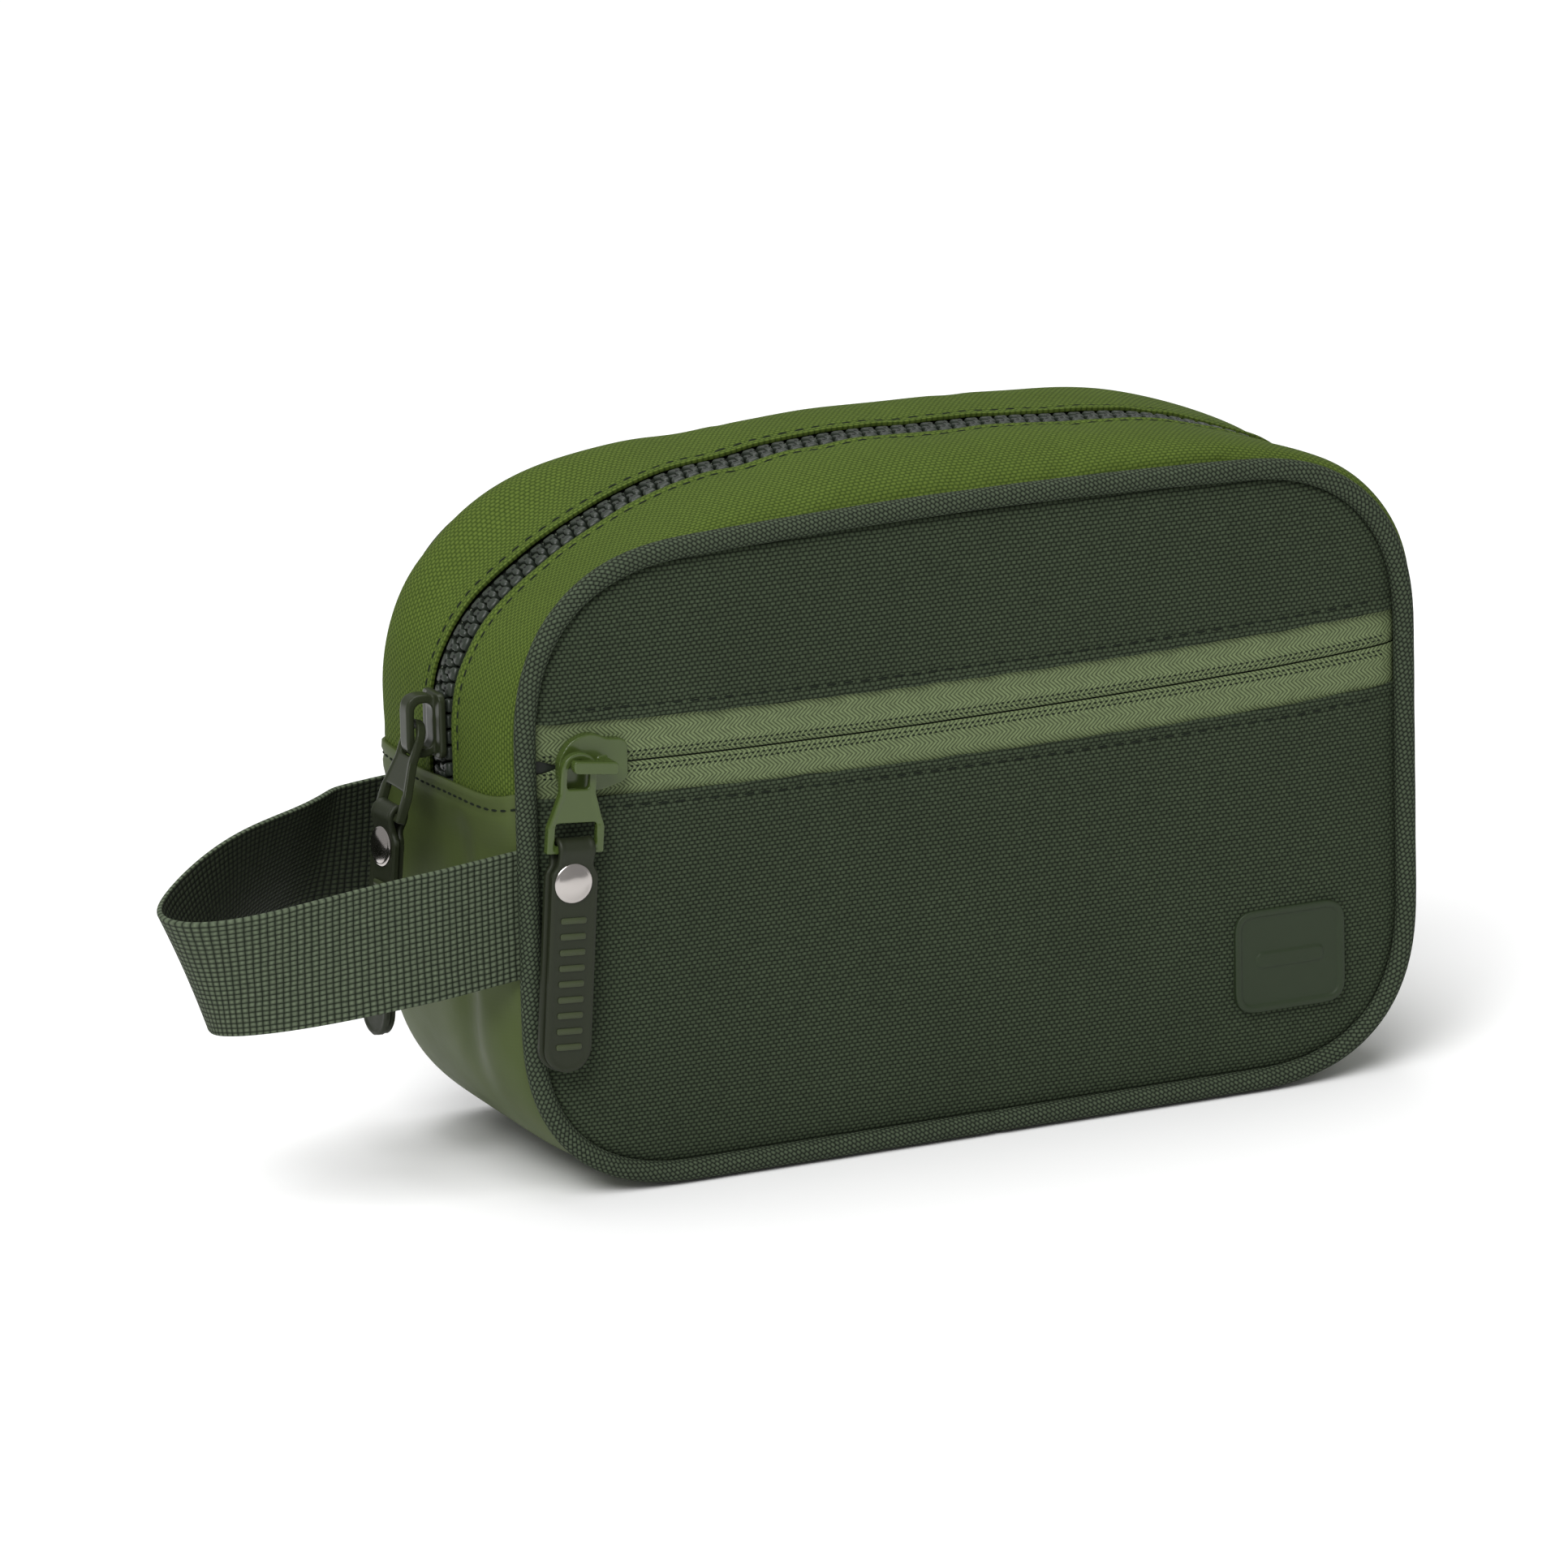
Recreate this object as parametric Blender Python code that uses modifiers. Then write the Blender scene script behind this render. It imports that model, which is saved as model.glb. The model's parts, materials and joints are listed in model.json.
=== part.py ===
"""A zipped wash bag with a front zip pocket, piped edges and a webbing side handle.

The frame is in metres, +Z up. The origin is the middle of the flat face the bag rests on, +X runs along
the bag's length, and the front panel faces -Y. The small helpers below take millimetres, and place()
turns them into metres.
"""

import math

import bmesh
import bpy
from mathutils import Matrix, Vector

MM = 0.001
GAP = 0.3  # clearance between neighbouring pieces
ROUNDING = 1e-9

# Seam loop: the piping's centre line, the same at the front and the rear.
HALF_LENGTH = 117.5
HALF_DEPTH = 39.7
SEAM_BOTTOM = 2.9
SEAM_TOP = 155.3
SEAM_ARCH = 4.4  # rise of the top edge at its middle
CORNER = 43.7
CORNER_POWER = 2.5  # a superellipse's exponent: 2 is a circle
PIPING_RADIUS = 2.65
PIPING_WALL = 0.6
PIPING_FACES = 6  # across the cover
PIPING_WRAP = 145.0  # degrees that the cover reaches round the cord on each side
CORD_RADIUS = 1.7
SEAM_STATIONS = 8  # points along each corner

# Crown line: the gusset's outer surface at mid depth, where the main zip runs.
CROWN_HALF_LENGTH = 123.0
CROWN_START = 111.5  # height where the side starts to turn
CORNER_TURN = (38.5, 52.0)  # radius and angle in degrees of the tight arc, which the slider follows
SHOULDER_TURN = (127.0, 38.0)  # radius and angle of the wide arc that leads to the flat top
FOOT_RADIUS = 46.0
ZIP_END = 98.0  # height at which the zip ends at each side
GUSSET = 1.2
GUSSET_EDGE = 36.7  # distance of the gusset's sewn edge from mid depth
SEAM_INSET = 0.6  # how far the gusset's outer face starts inside the seam loop
FLAT_HALF_DEPTH = 16.0
SLOPE_HALF_DEPTH = 27.0
SLOPE_SHARE = 0.68  # where the lower gusset's slope breaks, between the seam loop and the crown line
GUSSET_STATIONS = 20  # along each half of the band
TOP_ROWS = 3  # faces across each top gusset
INNER_CLEARANCE = 2.6  # from the shell's inner face to the gusset's lining
INNER_EDGE = 28.0  # distance of the gusset lining's edges from mid depth

# Layers behind the front and rear panels: distance of each middle from mid depth, and thickness.
BINDING = (35.25, 0.7)
BINDING_RING = (2.9, 7.5)  # insets of the binding's outer and inner edges from the seam loop
BACKING = (34.2, 0.6)
PADDING = (32.3, 3.0)
LINING = (30.2, 0.6)
INNER_INSET = 9.2
INNER_STATIONS = 5

# Main zip.
CHAIN_HALF = 4.3
CHAIN_SLOT = 0.8
TOOTH_PITCH = 4.0
TOOTH_ROOT = 3.2
TOOTH_THICK = 2.6
CHAIN_SINK = 0.5  # depth of the teeth's outer face under the crown line
CHAIN_INSET = 1.0  # how far the first tooth is from the zip's end
CHAIN_DENSITY = 80
CHAIN_STATIONS = 60
TAPE = 0.6
TAPE_REACH = 14.0
TAPE_STEP = 0.2  # the tape's middle lies this far below the teeth's
TAPE_HEM_SHARE = 0.905  # where the tape's outer edge lies between the seam loop and the crown line
FOLD_EDGE = 6.3  # half the width left open between the gusset's two folded edges

# Front pocket.
PANEL = 1.2
PANEL_FACE = 40.3  # distance of the front and rear panels' outer faces from mid depth
PANEL_MARGIN = 3.2  # inset of the panels from the seam loop
POCKET_LOW = 97.6
POCKET_HIGH = 116.6
POCKET_ZIP = 107.2
POCKET_ZIP_HALF = 111.5
POCKET_SLOT = 0.8
POCKET_TAPE_REACH = 15.5
COIL = (2.2, 1.4)  # height and depth of one coil row
COIL_INSET = 1.0  # how far each coil stops short of its tape's ends

# Badge.
BADGE = (69.0, 99.0, 21.0, 47.0)  # lowest and highest X, then Z
BADGE_CORNER = 5.0
BADGE_THICK = 1.3

# Sliders, pullers, straps.
POCKET_POST_X = -106.4
POCKET_TILT = 5.0  # degrees that the pocket puller hangs out of plumb
POCKET_STRAP_TILT = 4.0
POCKET_PULLER_Y = -45.8
POCKET_SLIDER_Z = 108.2
POCKET_SLIDER_FACE = ((-109.2, -5.6), (-109.2, 2.6), (-102.4, 6.6), (-94.8, 4.4), (-94.8, -6.0))
POCKET_SLIDER_ROUNDING = 2.2
POCKET_SLIDER_PLATE = (-40.3, 2.2)  # the front plate's middle and thickness along Y
POCKET_SLIDER_BLOCKS = (  # lowest and highest corners from the ring bar's axis, in X and Z, with Y as it is
    ((2.4, -39.4, -1.45), (6.4, -35.6, -0.55)),
    ((-2.0, -36.1, -6.0), (10.8, -35.1, 4.0)),
    ((-1.2, -47.2, -1.1), (1.2, -41.0, 2.4)),
    ((7.6, -47.2, -1.1), (10.0, -41.0, 2.4)),
    ((-1.8, -49.0, -1.1), (10.0, -47.0, 2.5)),
)
MAIN_SLIDER_PLATE = (5.6, 8.0, 1.8)  # half width, half height, thickness
MAIN_SLIDER_ROUNDING = 2.4
MAIN_SLIDER_OUT = 0.8  # how far the plate's middle stands outside the crown line
MAIN_SLIDER_CROWN = (-9.1, -1.2, 7.6, 3.6)  # reach outside the crown line, root, half height, rounding
MAIN_SLIDER_WINDOW = (-7.1, -2.3, 5.6, 2.2)
MAIN_SLIDER_CROWN_WIDTH = 4.2
MAIN_SLIDER_BLOCKS = (  # lowest and highest corners from the crown line at the slider's middle height
    ((-0.4, -0.5, 2.0), (4.6, 0.5, 6.0)),
    ((4.2, -5.2, -7.0), (5.4, 5.2, 7.0)),
)
PULLER_OUTLINE = ((-4.7, 0.9), (-4.7, -9.5), (-7.3, -16.8), (-7.3, -23.9),
                  (7.3, -23.9), (7.3, -16.8), (4.7, -9.5), (4.7, 0.9))
PULLER_ROUNDING = 1.6
RING_HOLE = (-2.7, 2.7, -8.4, -0.9)
RING_HOLE_ROUNDING = 1.2
FORK_HOLE = (-5.0, 5.0, -21.9, -16.6)
FORK_HOLE_ROUNDING = 0.8
RING_LIFT = 3.2  # the ring bar's centre above the bridge post's centre
RING_BAR_RISE = 0.65  # the bridge post's centre above the slider's middle
MAIN_PIVOT = (-128.4, 0.0, 112.0)
MAIN_LEAN = 20.0  # degrees that the main puller leans away from the bag
MAIN_STRAP_LEAN = 5.0
PULLER = 1.8
PULLER_BAR = -22.9  # the fork bar's centre, below the ring bar's centre
STRAP_LAYER = 1.7
STRAP_SLIT = 0.3
STRAP_LENGTH = 55.0
STRAP_WIDTH = 12.6
STRAP_NECK = 8.6
STRAP_JOINT = -3.1  # where the two layers part to go round the fork bar
STRAP_SHOULDER = (-3.6, -6.2)  # heights between which the strap widens
BAR_CLEARANCE = 0.6
RIVET_DROP = 8.1
RIVET_HOLE = 1.7
RIVET_CAP = ((0.0, 1.6), (2.4, 1.35), (4.0, 0.75), (4.85, 0.0), (0.0, 0.0))  # radius, height
RIVET_FLANGE = ((1.3, 0.0), (4.2, 0.0), (4.2, -0.5), (3.6, -0.8), (0.0, -0.8))
RIVET_SHANK = 1.3
TURNED_STEPS = 16
TURNED_MERGE = 1e-4

# Webbing handle.
WEB = 1.8
WEB_HEIGHT = 31.8
WEB_AXIS_X = -139.5
WEB_FRONT_Y = -40.2
WEB_REAR_Y = 38.6
WEB_GUIDES = ((-226.0, -42.0), (-206.0, 6.0))  # the plan curve's two inner guides
WEB_STATIONS = 24
WEB_END_STATIONS = 6
WEB_END_SHARE = 0.35  # where each half round's first station lies, as a share of one step
WEB_ROOT_Z = 73.6
WEB_TIP_Z = 62.3
WEB_TIP_X = -195.0
WEB_FLARE = 6.0  # how far the top edge leans out, and the bottom edge in, at the tip

COLOURS = {
    "front_weave": ((0.036, 0.046, 0.028), 0.9, 0.0),
    "gusset_weave": ((0.085, 0.125, 0.030), 0.85, 0.0),
    "coated_gusset": ((0.072, 0.085, 0.038), 0.5, 0.0),
    "piping_weave": ((0.030, 0.040, 0.025), 0.9, 0.0),
    "cord": ((0.60, 0.60, 0.57), 0.8, 0.0),
    "pocket_tape": ((0.115, 0.145, 0.072), 0.8, 0.0),
    "coil": ((0.040, 0.052, 0.032), 0.4, 0.0),
    "main_tape": ((0.020, 0.025, 0.020), 0.8, 0.0),
    "teeth": ((0.060, 0.075, 0.050), 0.45, 0.0),
    "lining": ((0.045, 0.050, 0.045), 0.85, 0.0),
    "foam": ((0.50, 0.50, 0.48), 0.95, 0.0),
    "binding": ((0.020, 0.022, 0.020), 0.85, 0.0),
    "webbing": ((0.055, 0.075, 0.045), 0.85, 0.0),
    "rubber": ((0.040, 0.044, 0.030), 0.55, 0.0),
    "badge_rubber": ((0.030, 0.048, 0.020), 0.5, 0.0),
    "pocket_metal": ((0.105, 0.135, 0.060), 0.3, 0.0),
    "main_metal": ((0.035, 0.040, 0.028), 0.25, 0.0),
    "nickel": ((0.75, 0.73, 0.70), 0.2, 1.0),
}


def clear_scene():
    for old in list(bpy.data.objects):
        bpy.data.objects.remove(old, do_unlink=True)


def new_collection(name):
    made = bpy.data.collections.new(name)
    bpy.context.scene.collection.children.link(made)
    return made


def material(name):
    found = bpy.data.materials.get(name)
    if found:
        return found
    colour, roughness, metallic = COLOURS[name]
    made = bpy.data.materials.new(name)
    made.use_nodes = True
    surface = made.node_tree.nodes["Principled BSDF"]
    surface.inputs["Base Color"].default_value = (*colour, 1.0)
    surface.inputs["Roughness"].default_value = roughness
    surface.inputs["Metallic"].default_value = metallic
    return made


def place(name, mesh, look, origin=(0.0, 0.0, 0.0), matrix=None):
    """An object in the bag's collection whose mesh, in millimetres about origin, becomes metres."""
    mesh.transform(Matrix.Scale(MM, 4))
    mesh.materials.clear()
    mesh.materials.append(material(look))
    made = bpy.data.objects.new(name, mesh)
    PARTS.objects.link(made)
    made.matrix_world = Matrix.Translation(Vector(origin) * MM) @ (matrix or Matrix.Identity(4))
    return made


def cutter(mesh, origin=(0.0, 0.0, 0.0), matrix=None):
    """A Boolean's tool, in millimetres about origin."""
    mesh.transform(Matrix.Scale(MM, 4))
    made = bpy.data.objects.new("cutter", mesh)
    CUTTERS.objects.link(made)
    made.matrix_world = Matrix.Translation(Vector(origin) * MM) @ (matrix or Matrix.Identity(4))
    return made


def move_origin(target, point):
    """Puts an object's origin on a point of its joint's axis and leaves its shape where it is."""
    shift = target.matrix_world.inverted() @ (Vector(point) * MM)
    target.data.transform(Matrix.Translation(-shift))
    target.matrix_world = target.matrix_world @ Matrix.Translation(shift)


def as_mesh(source):
    """The evaluated mesh of a curve or a profile, with its caps welded on; the source is removed."""
    CUTTERS.objects.link(source)
    graph = bpy.context.evaluated_depsgraph_get()
    mesh = bpy.data.meshes.new_from_object(source.evaluated_get(graph))
    bpy.data.objects.remove(source, do_unlink=True)
    shape = bmesh.new()
    shape.from_mesh(mesh)
    bmesh.ops.remove_doubles(shape, verts=shape.verts, dist=0.01)
    bmesh.ops.recalc_face_normals(shape, faces=shape.faces)
    shape.to_mesh(mesh)
    shape.free()
    return mesh


def outline_mesh(outlines, thickness):
    """A flat plate in the XY plane, centred on it, with every outline after the first as a hole."""
    curve = bpy.data.curves.new("outline", "CURVE")
    curve.dimensions = "2D"
    curve.fill_mode = "BOTH"
    curve.extrude = thickness / 2
    for points in outlines:
        spline = curve.splines.new("POLY")
        spline.points.add(len(points) - 1)
        for point, (x, y) in zip(spline.points, points):
            point.co = (x, y, 0.0, 1.0)
        spline.use_cyclic_u = True
    return as_mesh(bpy.data.objects.new("outline", curve))


def upright(mesh):
    """Turns a mesh drawn in XY to stand in XZ, facing -Y."""
    mesh.transform(Matrix.Rotation(math.radians(90), 4, "X"))
    return mesh


def panel(name, outlines, y_middle, thickness, look):
    mesh = upright(outline_mesh(outlines, thickness))
    return place(name, mesh, look, origin=(0.0, y_middle, 0.0))


def sheet(name, rows, thickness, look, closed=False, offset=-1.0):
    """An open surface through rows of points, given thickness by a Solidify modifier."""
    shape = bmesh.new()
    grid = [[shape.verts.new(point) for point in row] for row in rows]
    pairs = list(zip(grid, grid[1:] + grid[:1])) if closed else list(zip(grid, grid[1:]))
    for first, second in pairs:
        for k in range(len(first) - 1):
            shape.faces.new((first[k], first[k + 1], second[k + 1], second[k]))
    mesh = bpy.data.meshes.new(name)
    shape.to_mesh(mesh)
    shape.free()
    made = place(name, mesh, look)
    solid = made.modifiers.new("thickness", "SOLIDIFY")
    solid.thickness = thickness * MM
    solid.offset = offset
    solid.use_even_offset = True
    mesh.shade_smooth()
    mesh.set_sharp_from_angle(angle=math.radians(40))
    return made


def arc(centre, radius, start, end, count):
    """Points from one angle to another in degrees, measured from +X towards +Z, ends included."""
    points = []
    for k in range(count + 1):
        angle = math.radians(start + (end - start) * k / count)
        points.append((centre[0] + radius * math.cos(angle), centre[1] + radius * math.sin(angle)))
    return points


def soft_corner(centre, radius, start, count):
    """A quarter turn of a superellipse, anticlockwise from start degrees."""
    points = []
    for k in range(count + 1):
        angle = math.radians(90 * k / count)
        along = radius * math.cos(angle) ** (2 / CORNER_POWER)
        across = radius * math.sin(angle) ** (2 / CORNER_POWER)
        turn = math.radians(start)
        x = along * math.cos(turn) - across * math.sin(turn)
        z = along * math.sin(turn) + across * math.cos(turn)
        points.append((centre[0] + x, centre[1] + z))
    return points


def seam_loop(inset=0.0, count=SEAM_STATIONS):
    """The seam loop, anticlockwise from the right side's foot, drawn in by inset."""
    half = HALF_LENGTH - inset
    radius = CORNER - inset
    low = SEAM_BOTTOM + inset
    high = SEAM_TOP - inset
    x = half - radius
    points = []
    points += soft_corner((x, high - radius), radius, 0, count)
    points += [(x * side, high) for side in (0.5, 0.0, -0.5)]
    points += soft_corner((-x, high - radius), radius, 90, count)
    points += soft_corner((-x, low + radius), radius, 180, count)
    points += soft_corner((x, low + radius), radius, 270, count)
    return [(px, arched(px, pz, half)) for px, pz in points]


def arched(x, z, half):
    """Raises a point of the upper edge by the top's shallow bow."""
    top = max(0.0, (z - CROWN_START) / (SEAM_TOP - CROWN_START))
    return z + SEAM_ARCH * (1 - (x / half) ** 2) * min(1.0, top)


def half_seam(dense=40):
    """The seam loop's left half, from the bottom's middle up to the top's middle."""
    x = HALF_LENGTH - CORNER
    points = [(0.0, SEAM_BOTTOM)]
    points += soft_corner((-x, SEAM_BOTTOM + CORNER), CORNER, 180, dense)[::-1]
    points += soft_corner((-x, SEAM_TOP - CORNER), CORNER, 90, dense)[::-1]
    points += [(-x * (1 - k / dense), SEAM_TOP) for k in range(1, dense + 1)]
    return [(px, arched(px, pz, HALF_LENGTH)) for px, pz in points]


def half_crown(dense=40):
    """The crown line's left half, from the bottom's middle up to the top's middle."""
    radius, turn = CORNER_TURN
    wide, rest = SHOULDER_TURN
    centre = (-CROWN_HALF_LENGTH + radius, CROWN_START)
    joint = 180 - turn
    bearing = math.radians(joint)
    step = wide - radius
    far = (centre[0] - step * math.cos(bearing), centre[1] - step * math.sin(bearing))
    points = [(0.0, 0.0)]
    points += arc((-CROWN_HALF_LENGTH + FOOT_RADIUS, FOOT_RADIUS), FOOT_RADIUS, 270, 180, dense)
    points += arc(centre, radius, 180, joint, dense)
    points += arc(far, wide, joint, joint - rest, dense)[1:]
    points.append((0.0, points[-1][1]))
    return points


def spaced(points, start_z, end, count):
    """Evenly spaced points of a half loop, from where it passes start_z to its top or its bottom."""
    if end == "top":
        rest = [p for p in points if p[1] > start_z]
    else:
        rest = [p for p in points if p[1] < start_z][::-1]
    # The loop is straight and upright here, so its widest point is also its place at start_z.
    line = [(min(p[0] for p in points), start_z)] + rest
    lengths = running_lengths(line)
    return [along(line, lengths, lengths[-1] * k / count) for k in range(count + 1)]


def running_lengths(line):
    lengths = [0.0]
    for a, b in zip(line, line[1:]):
        lengths.append(lengths[-1] + math.dist(a, b))
    return lengths


def along(line, lengths, want):
    """The point of a line this far along it."""
    i = segment(lengths, want)
    return between(line[i - 1], line[i], (want - lengths[i - 1]) / (lengths[i] - lengths[i - 1]))


def segment(lengths, want):
    return next(n for n in range(1, len(lengths)) if lengths[n] >= want - ROUNDING)


def both_sides(left):
    """Adds the mirrored right half to stations that end on the middle line."""
    return left + [(-x, z) for x, z in left[-2::-1]]


def normals(stations):
    """Unit vectors pointing out of the bag, for stations that run clockwise from the left side."""
    found = []
    for k in range(len(stations)):
        a = stations[max(k - 1, 0)]
        b = stations[min(k + 1, len(stations) - 1)]
        length = math.dist(a, b)
        found.append((-(b[1] - a[1]) / length, (b[0] - a[0]) / length))
    return found


def moved(stations, distance):
    """Stations shifted outwards by distance."""
    pairs = zip(stations, normals(stations))
    return [(x + nx * distance, z + nz * distance) for (x, z), (nx, nz) in pairs]


def between(a, b, share):
    return (a[0] + (b[0] - a[0]) * share, a[1] + (b[1] - a[1]) * share)


def clipped(points, height, keep_low):
    """The part of a closed outline below, or above, a level line."""
    kept = []
    for a, b in zip(points, points[1:] + points[:1]):
        inside = (a[1] < height) == keep_low
        if inside:
            kept.append(a)
        if (a[1] < height) != (b[1] < height):
            share = (height - a[1]) / (b[1] - a[1])
            kept.append((a[0] + (b[0] - a[0]) * share, height))
    return kept


def rectangle(x_low, x_high, z_low, z_high):
    return [(x_low, z_low), (x_high, z_low), (x_high, z_high), (x_low, z_high)]


def rounded(points, radius, count=4):
    """The outline with each corner replaced by an arc of about this radius."""
    made = []
    for k, corner in enumerate(points):
        before = points[k - 1]
        after = points[(k + 1) % len(points)]
        start = between(corner, before, radius / math.dist(corner, before))
        end = between(corner, after, radius / math.dist(corner, after))
        for n in range(count + 1):
            share = n / count
            made.append(between(between(start, corner, share), between(corner, end, share), share))
    return made


def cut(target, tool, operation="DIFFERENCE"):
    """Applies a Boolean modifier at once and removes the tool."""
    modifier = target.modifiers.new(operation.lower(), "BOOLEAN")
    modifier.operation = operation
    modifier.solver = "EXACT"
    modifier.object = tool
    graph = bpy.context.evaluated_depsgraph_get()
    mesh = bpy.data.meshes.new_from_object(target.evaluated_get(graph))
    target.modifiers.remove(modifier)
    target.data = mesh
    bpy.data.objects.remove(tool, do_unlink=True)


def cylinder_mesh(radius, depth, segments):
    """A cylinder about the origin along Y."""
    shape = bmesh.new()
    turn = Matrix.Rotation(math.radians(90), 4, "X")
    bmesh.ops.create_cone(
        shape, cap_ends=True, segments=segments, radius1=radius, radius2=radius, depth=depth, matrix=turn
    )
    mesh = bpy.data.meshes.new("cylinder")
    shape.to_mesh(mesh)
    shape.free()
    return mesh


def block_mesh(low, high):
    """A box from its lowest to its highest corner."""
    shape = bmesh.new()
    size = [b - a for a, b in zip(low, high)]
    middle = [(a + b) / 2 for a, b in zip(low, high)]
    matrix = Matrix.Translation(middle) @ Matrix.Diagonal((*size, 1.0))
    bmesh.ops.create_cube(shape, size=1.0, matrix=matrix)
    mesh = bpy.data.meshes.new("block")
    shape.to_mesh(mesh)
    shape.free()
    return mesh


def make_panels():
    """Front and rear faces: shell fabric, pocket, foam and lining, from the outside in."""
    outline = seam_loop(PANEL_MARGIN)
    y = -PANEL_FACE + PANEL / 2
    panel("front_panel_upper", [clipped(outline, POCKET_HIGH, False)], y, PANEL, "front_weave")
    panel("front_panel_lower", [clipped(outline, POCKET_LOW, True)], y, PANEL, "front_weave")
    panel("rear_panel", [outline], -y, PANEL, "front_weave")
    inner = seam_loop(INNER_INSET, count=INNER_STATIONS)
    ring = [seam_loop(inset) for inset in BINDING_RING]
    panel("pocket_backing", [inner], -BACKING[0], BACKING[1], "lining")
    for name, side in (("front", -1), ("rear", 1)):
        panel(f"seam_binding_{name}", ring, side * BINDING[0], BINDING[1], "binding")
        panel(f"{name}_padding", [inner], side * PADDING[0], PADDING[1], "foam")
        panel(f"{name}_lining", [inner], side * LINING[0], LINING[1], "lining")


def make_pocket_zip():
    """Two tapes behind the folded panel edges, with a coil sewn to the back of each."""
    tape_y = -PANEL_FACE + PANEL + GAP + TAPE / 2
    coil_y = tape_y + TAPE / 2 + GAP + COIL[1] / 2
    for name, side in (("upper", 1), ("lower", -1)):
        slot = POCKET_ZIP + side * POCKET_SLOT
        edges = sorted((slot, POCKET_ZIP + side * POCKET_TAPE_REACH))
        outline = rectangle(-POCKET_ZIP_HALF, POCKET_ZIP_HALF, *edges)
        panel(f"pocket_zip_tape_{name}", [outline], tape_y, TAPE, "pocket_tape")
        edges = sorted((slot, slot + side * COIL[0]))
        half = POCKET_ZIP_HALF - COIL_INSET
        panel(f"pocket_zip_coil_{name}", [rectangle(-half, half, *edges)], coil_y, COIL[1], "coil")


def make_gussets():
    """The band between the two seams: two top strips beside the zip, and one coated strip below."""
    seam = both_sides(moved(spaced(half_seam(), ZIP_END, "top", GUSSET_STATIONS), -SEAM_INSET))
    crown = both_sides(spaced(half_crown(), ZIP_END, "top", GUSSET_STATIONS))
    for name, side in (("front", -1), ("rear", 1)):
        rows = []
        for s, c in zip(seam, crown):
            row = []
            for k in range(TOP_ROWS + 1):
                share = k / TOP_ROWS
                x, z = between(s, c, 1 - (1 - share) ** 2)
                row.append((x, side * (GUSSET_EDGE + (FOLD_EDGE - GUSSET_EDGE) * share), z))
            rows.append(row if side < 0 else row[::-1])
        sheet(f"top_gusset_{name}", rows, GUSSET, "gusset_weave", offset=1.0)
    low = ZIP_END - GAP
    seam = both_sides(moved(spaced(half_seam(), low, "bottom", GUSSET_STATIONS), SEAM_INSET))
    crown = both_sides(spaced(half_crown(), low, "bottom", GUSSET_STATIONS))
    slope = [between(s, c, SLOPE_SHARE) for s, c in zip(seam, crown)]
    rows = band(((seam, GUSSET_EDGE), (slope, SLOPE_HALF_DEPTH), (crown, FLAT_HALF_DEPTH)))
    sheet("lower_gusset", rows, GUSSET, "coated_gusset")
    inner = moved(crown, GUSSET + INNER_CLEARANCE)
    outer = moved(seam, GUSSET + INNER_CLEARANCE)
    sheet("gusset_lining", band(((outer, INNER_EDGE), (inner, FLAT_HALF_DEPTH))), LINING[1], "lining")


def band(lines):
    """Rows across the bag's depth, the same at the front and the rear, from lines at half depths."""
    rows = []
    for points in zip(*(line for line, _ in lines)):
        half = [(x, -depth, z) for (x, z), (_, depth) in zip(points, lines)]
        rows.append(half + [(x, -y, z) for x, y, z in half[::-1]])
    return rows


def make_main_zip():
    """Tapes under the gusset's folds, and one comb of teeth on each."""
    drop = TAPE / 2 - CHAIN_SINK - TOOTH_THICK / 2 - TAPE_STEP
    seam = both_sides(moved(spaced(half_seam(), ZIP_END, "top", GUSSET_STATIONS), -SEAM_INSET))
    crown = both_sides(spaced(half_crown(), ZIP_END, "top", GUSSET_STATIONS))
    line = moved(crown, drop)
    hem = moved([between(s, c, TAPE_HEM_SHARE) for s, c in zip(seam, crown)], drop)
    for name, side in (("front", -1), ("rear", 1)):
        rows = []
        for (inner_x, inner_z), (hem_x, hem_z) in zip(line, hem):
            row = [(hem_x, side * TAPE_REACH, hem_z), (inner_x, side * (CHAIN_HALF + GAP), inner_z)]
            rows.append(row if side < 0 else row[::-1])
        sheet(f"main_zip_tape_{name}", rows, TAPE, "main_tape", offset=1.0)
        make_teeth(name, side)


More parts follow.
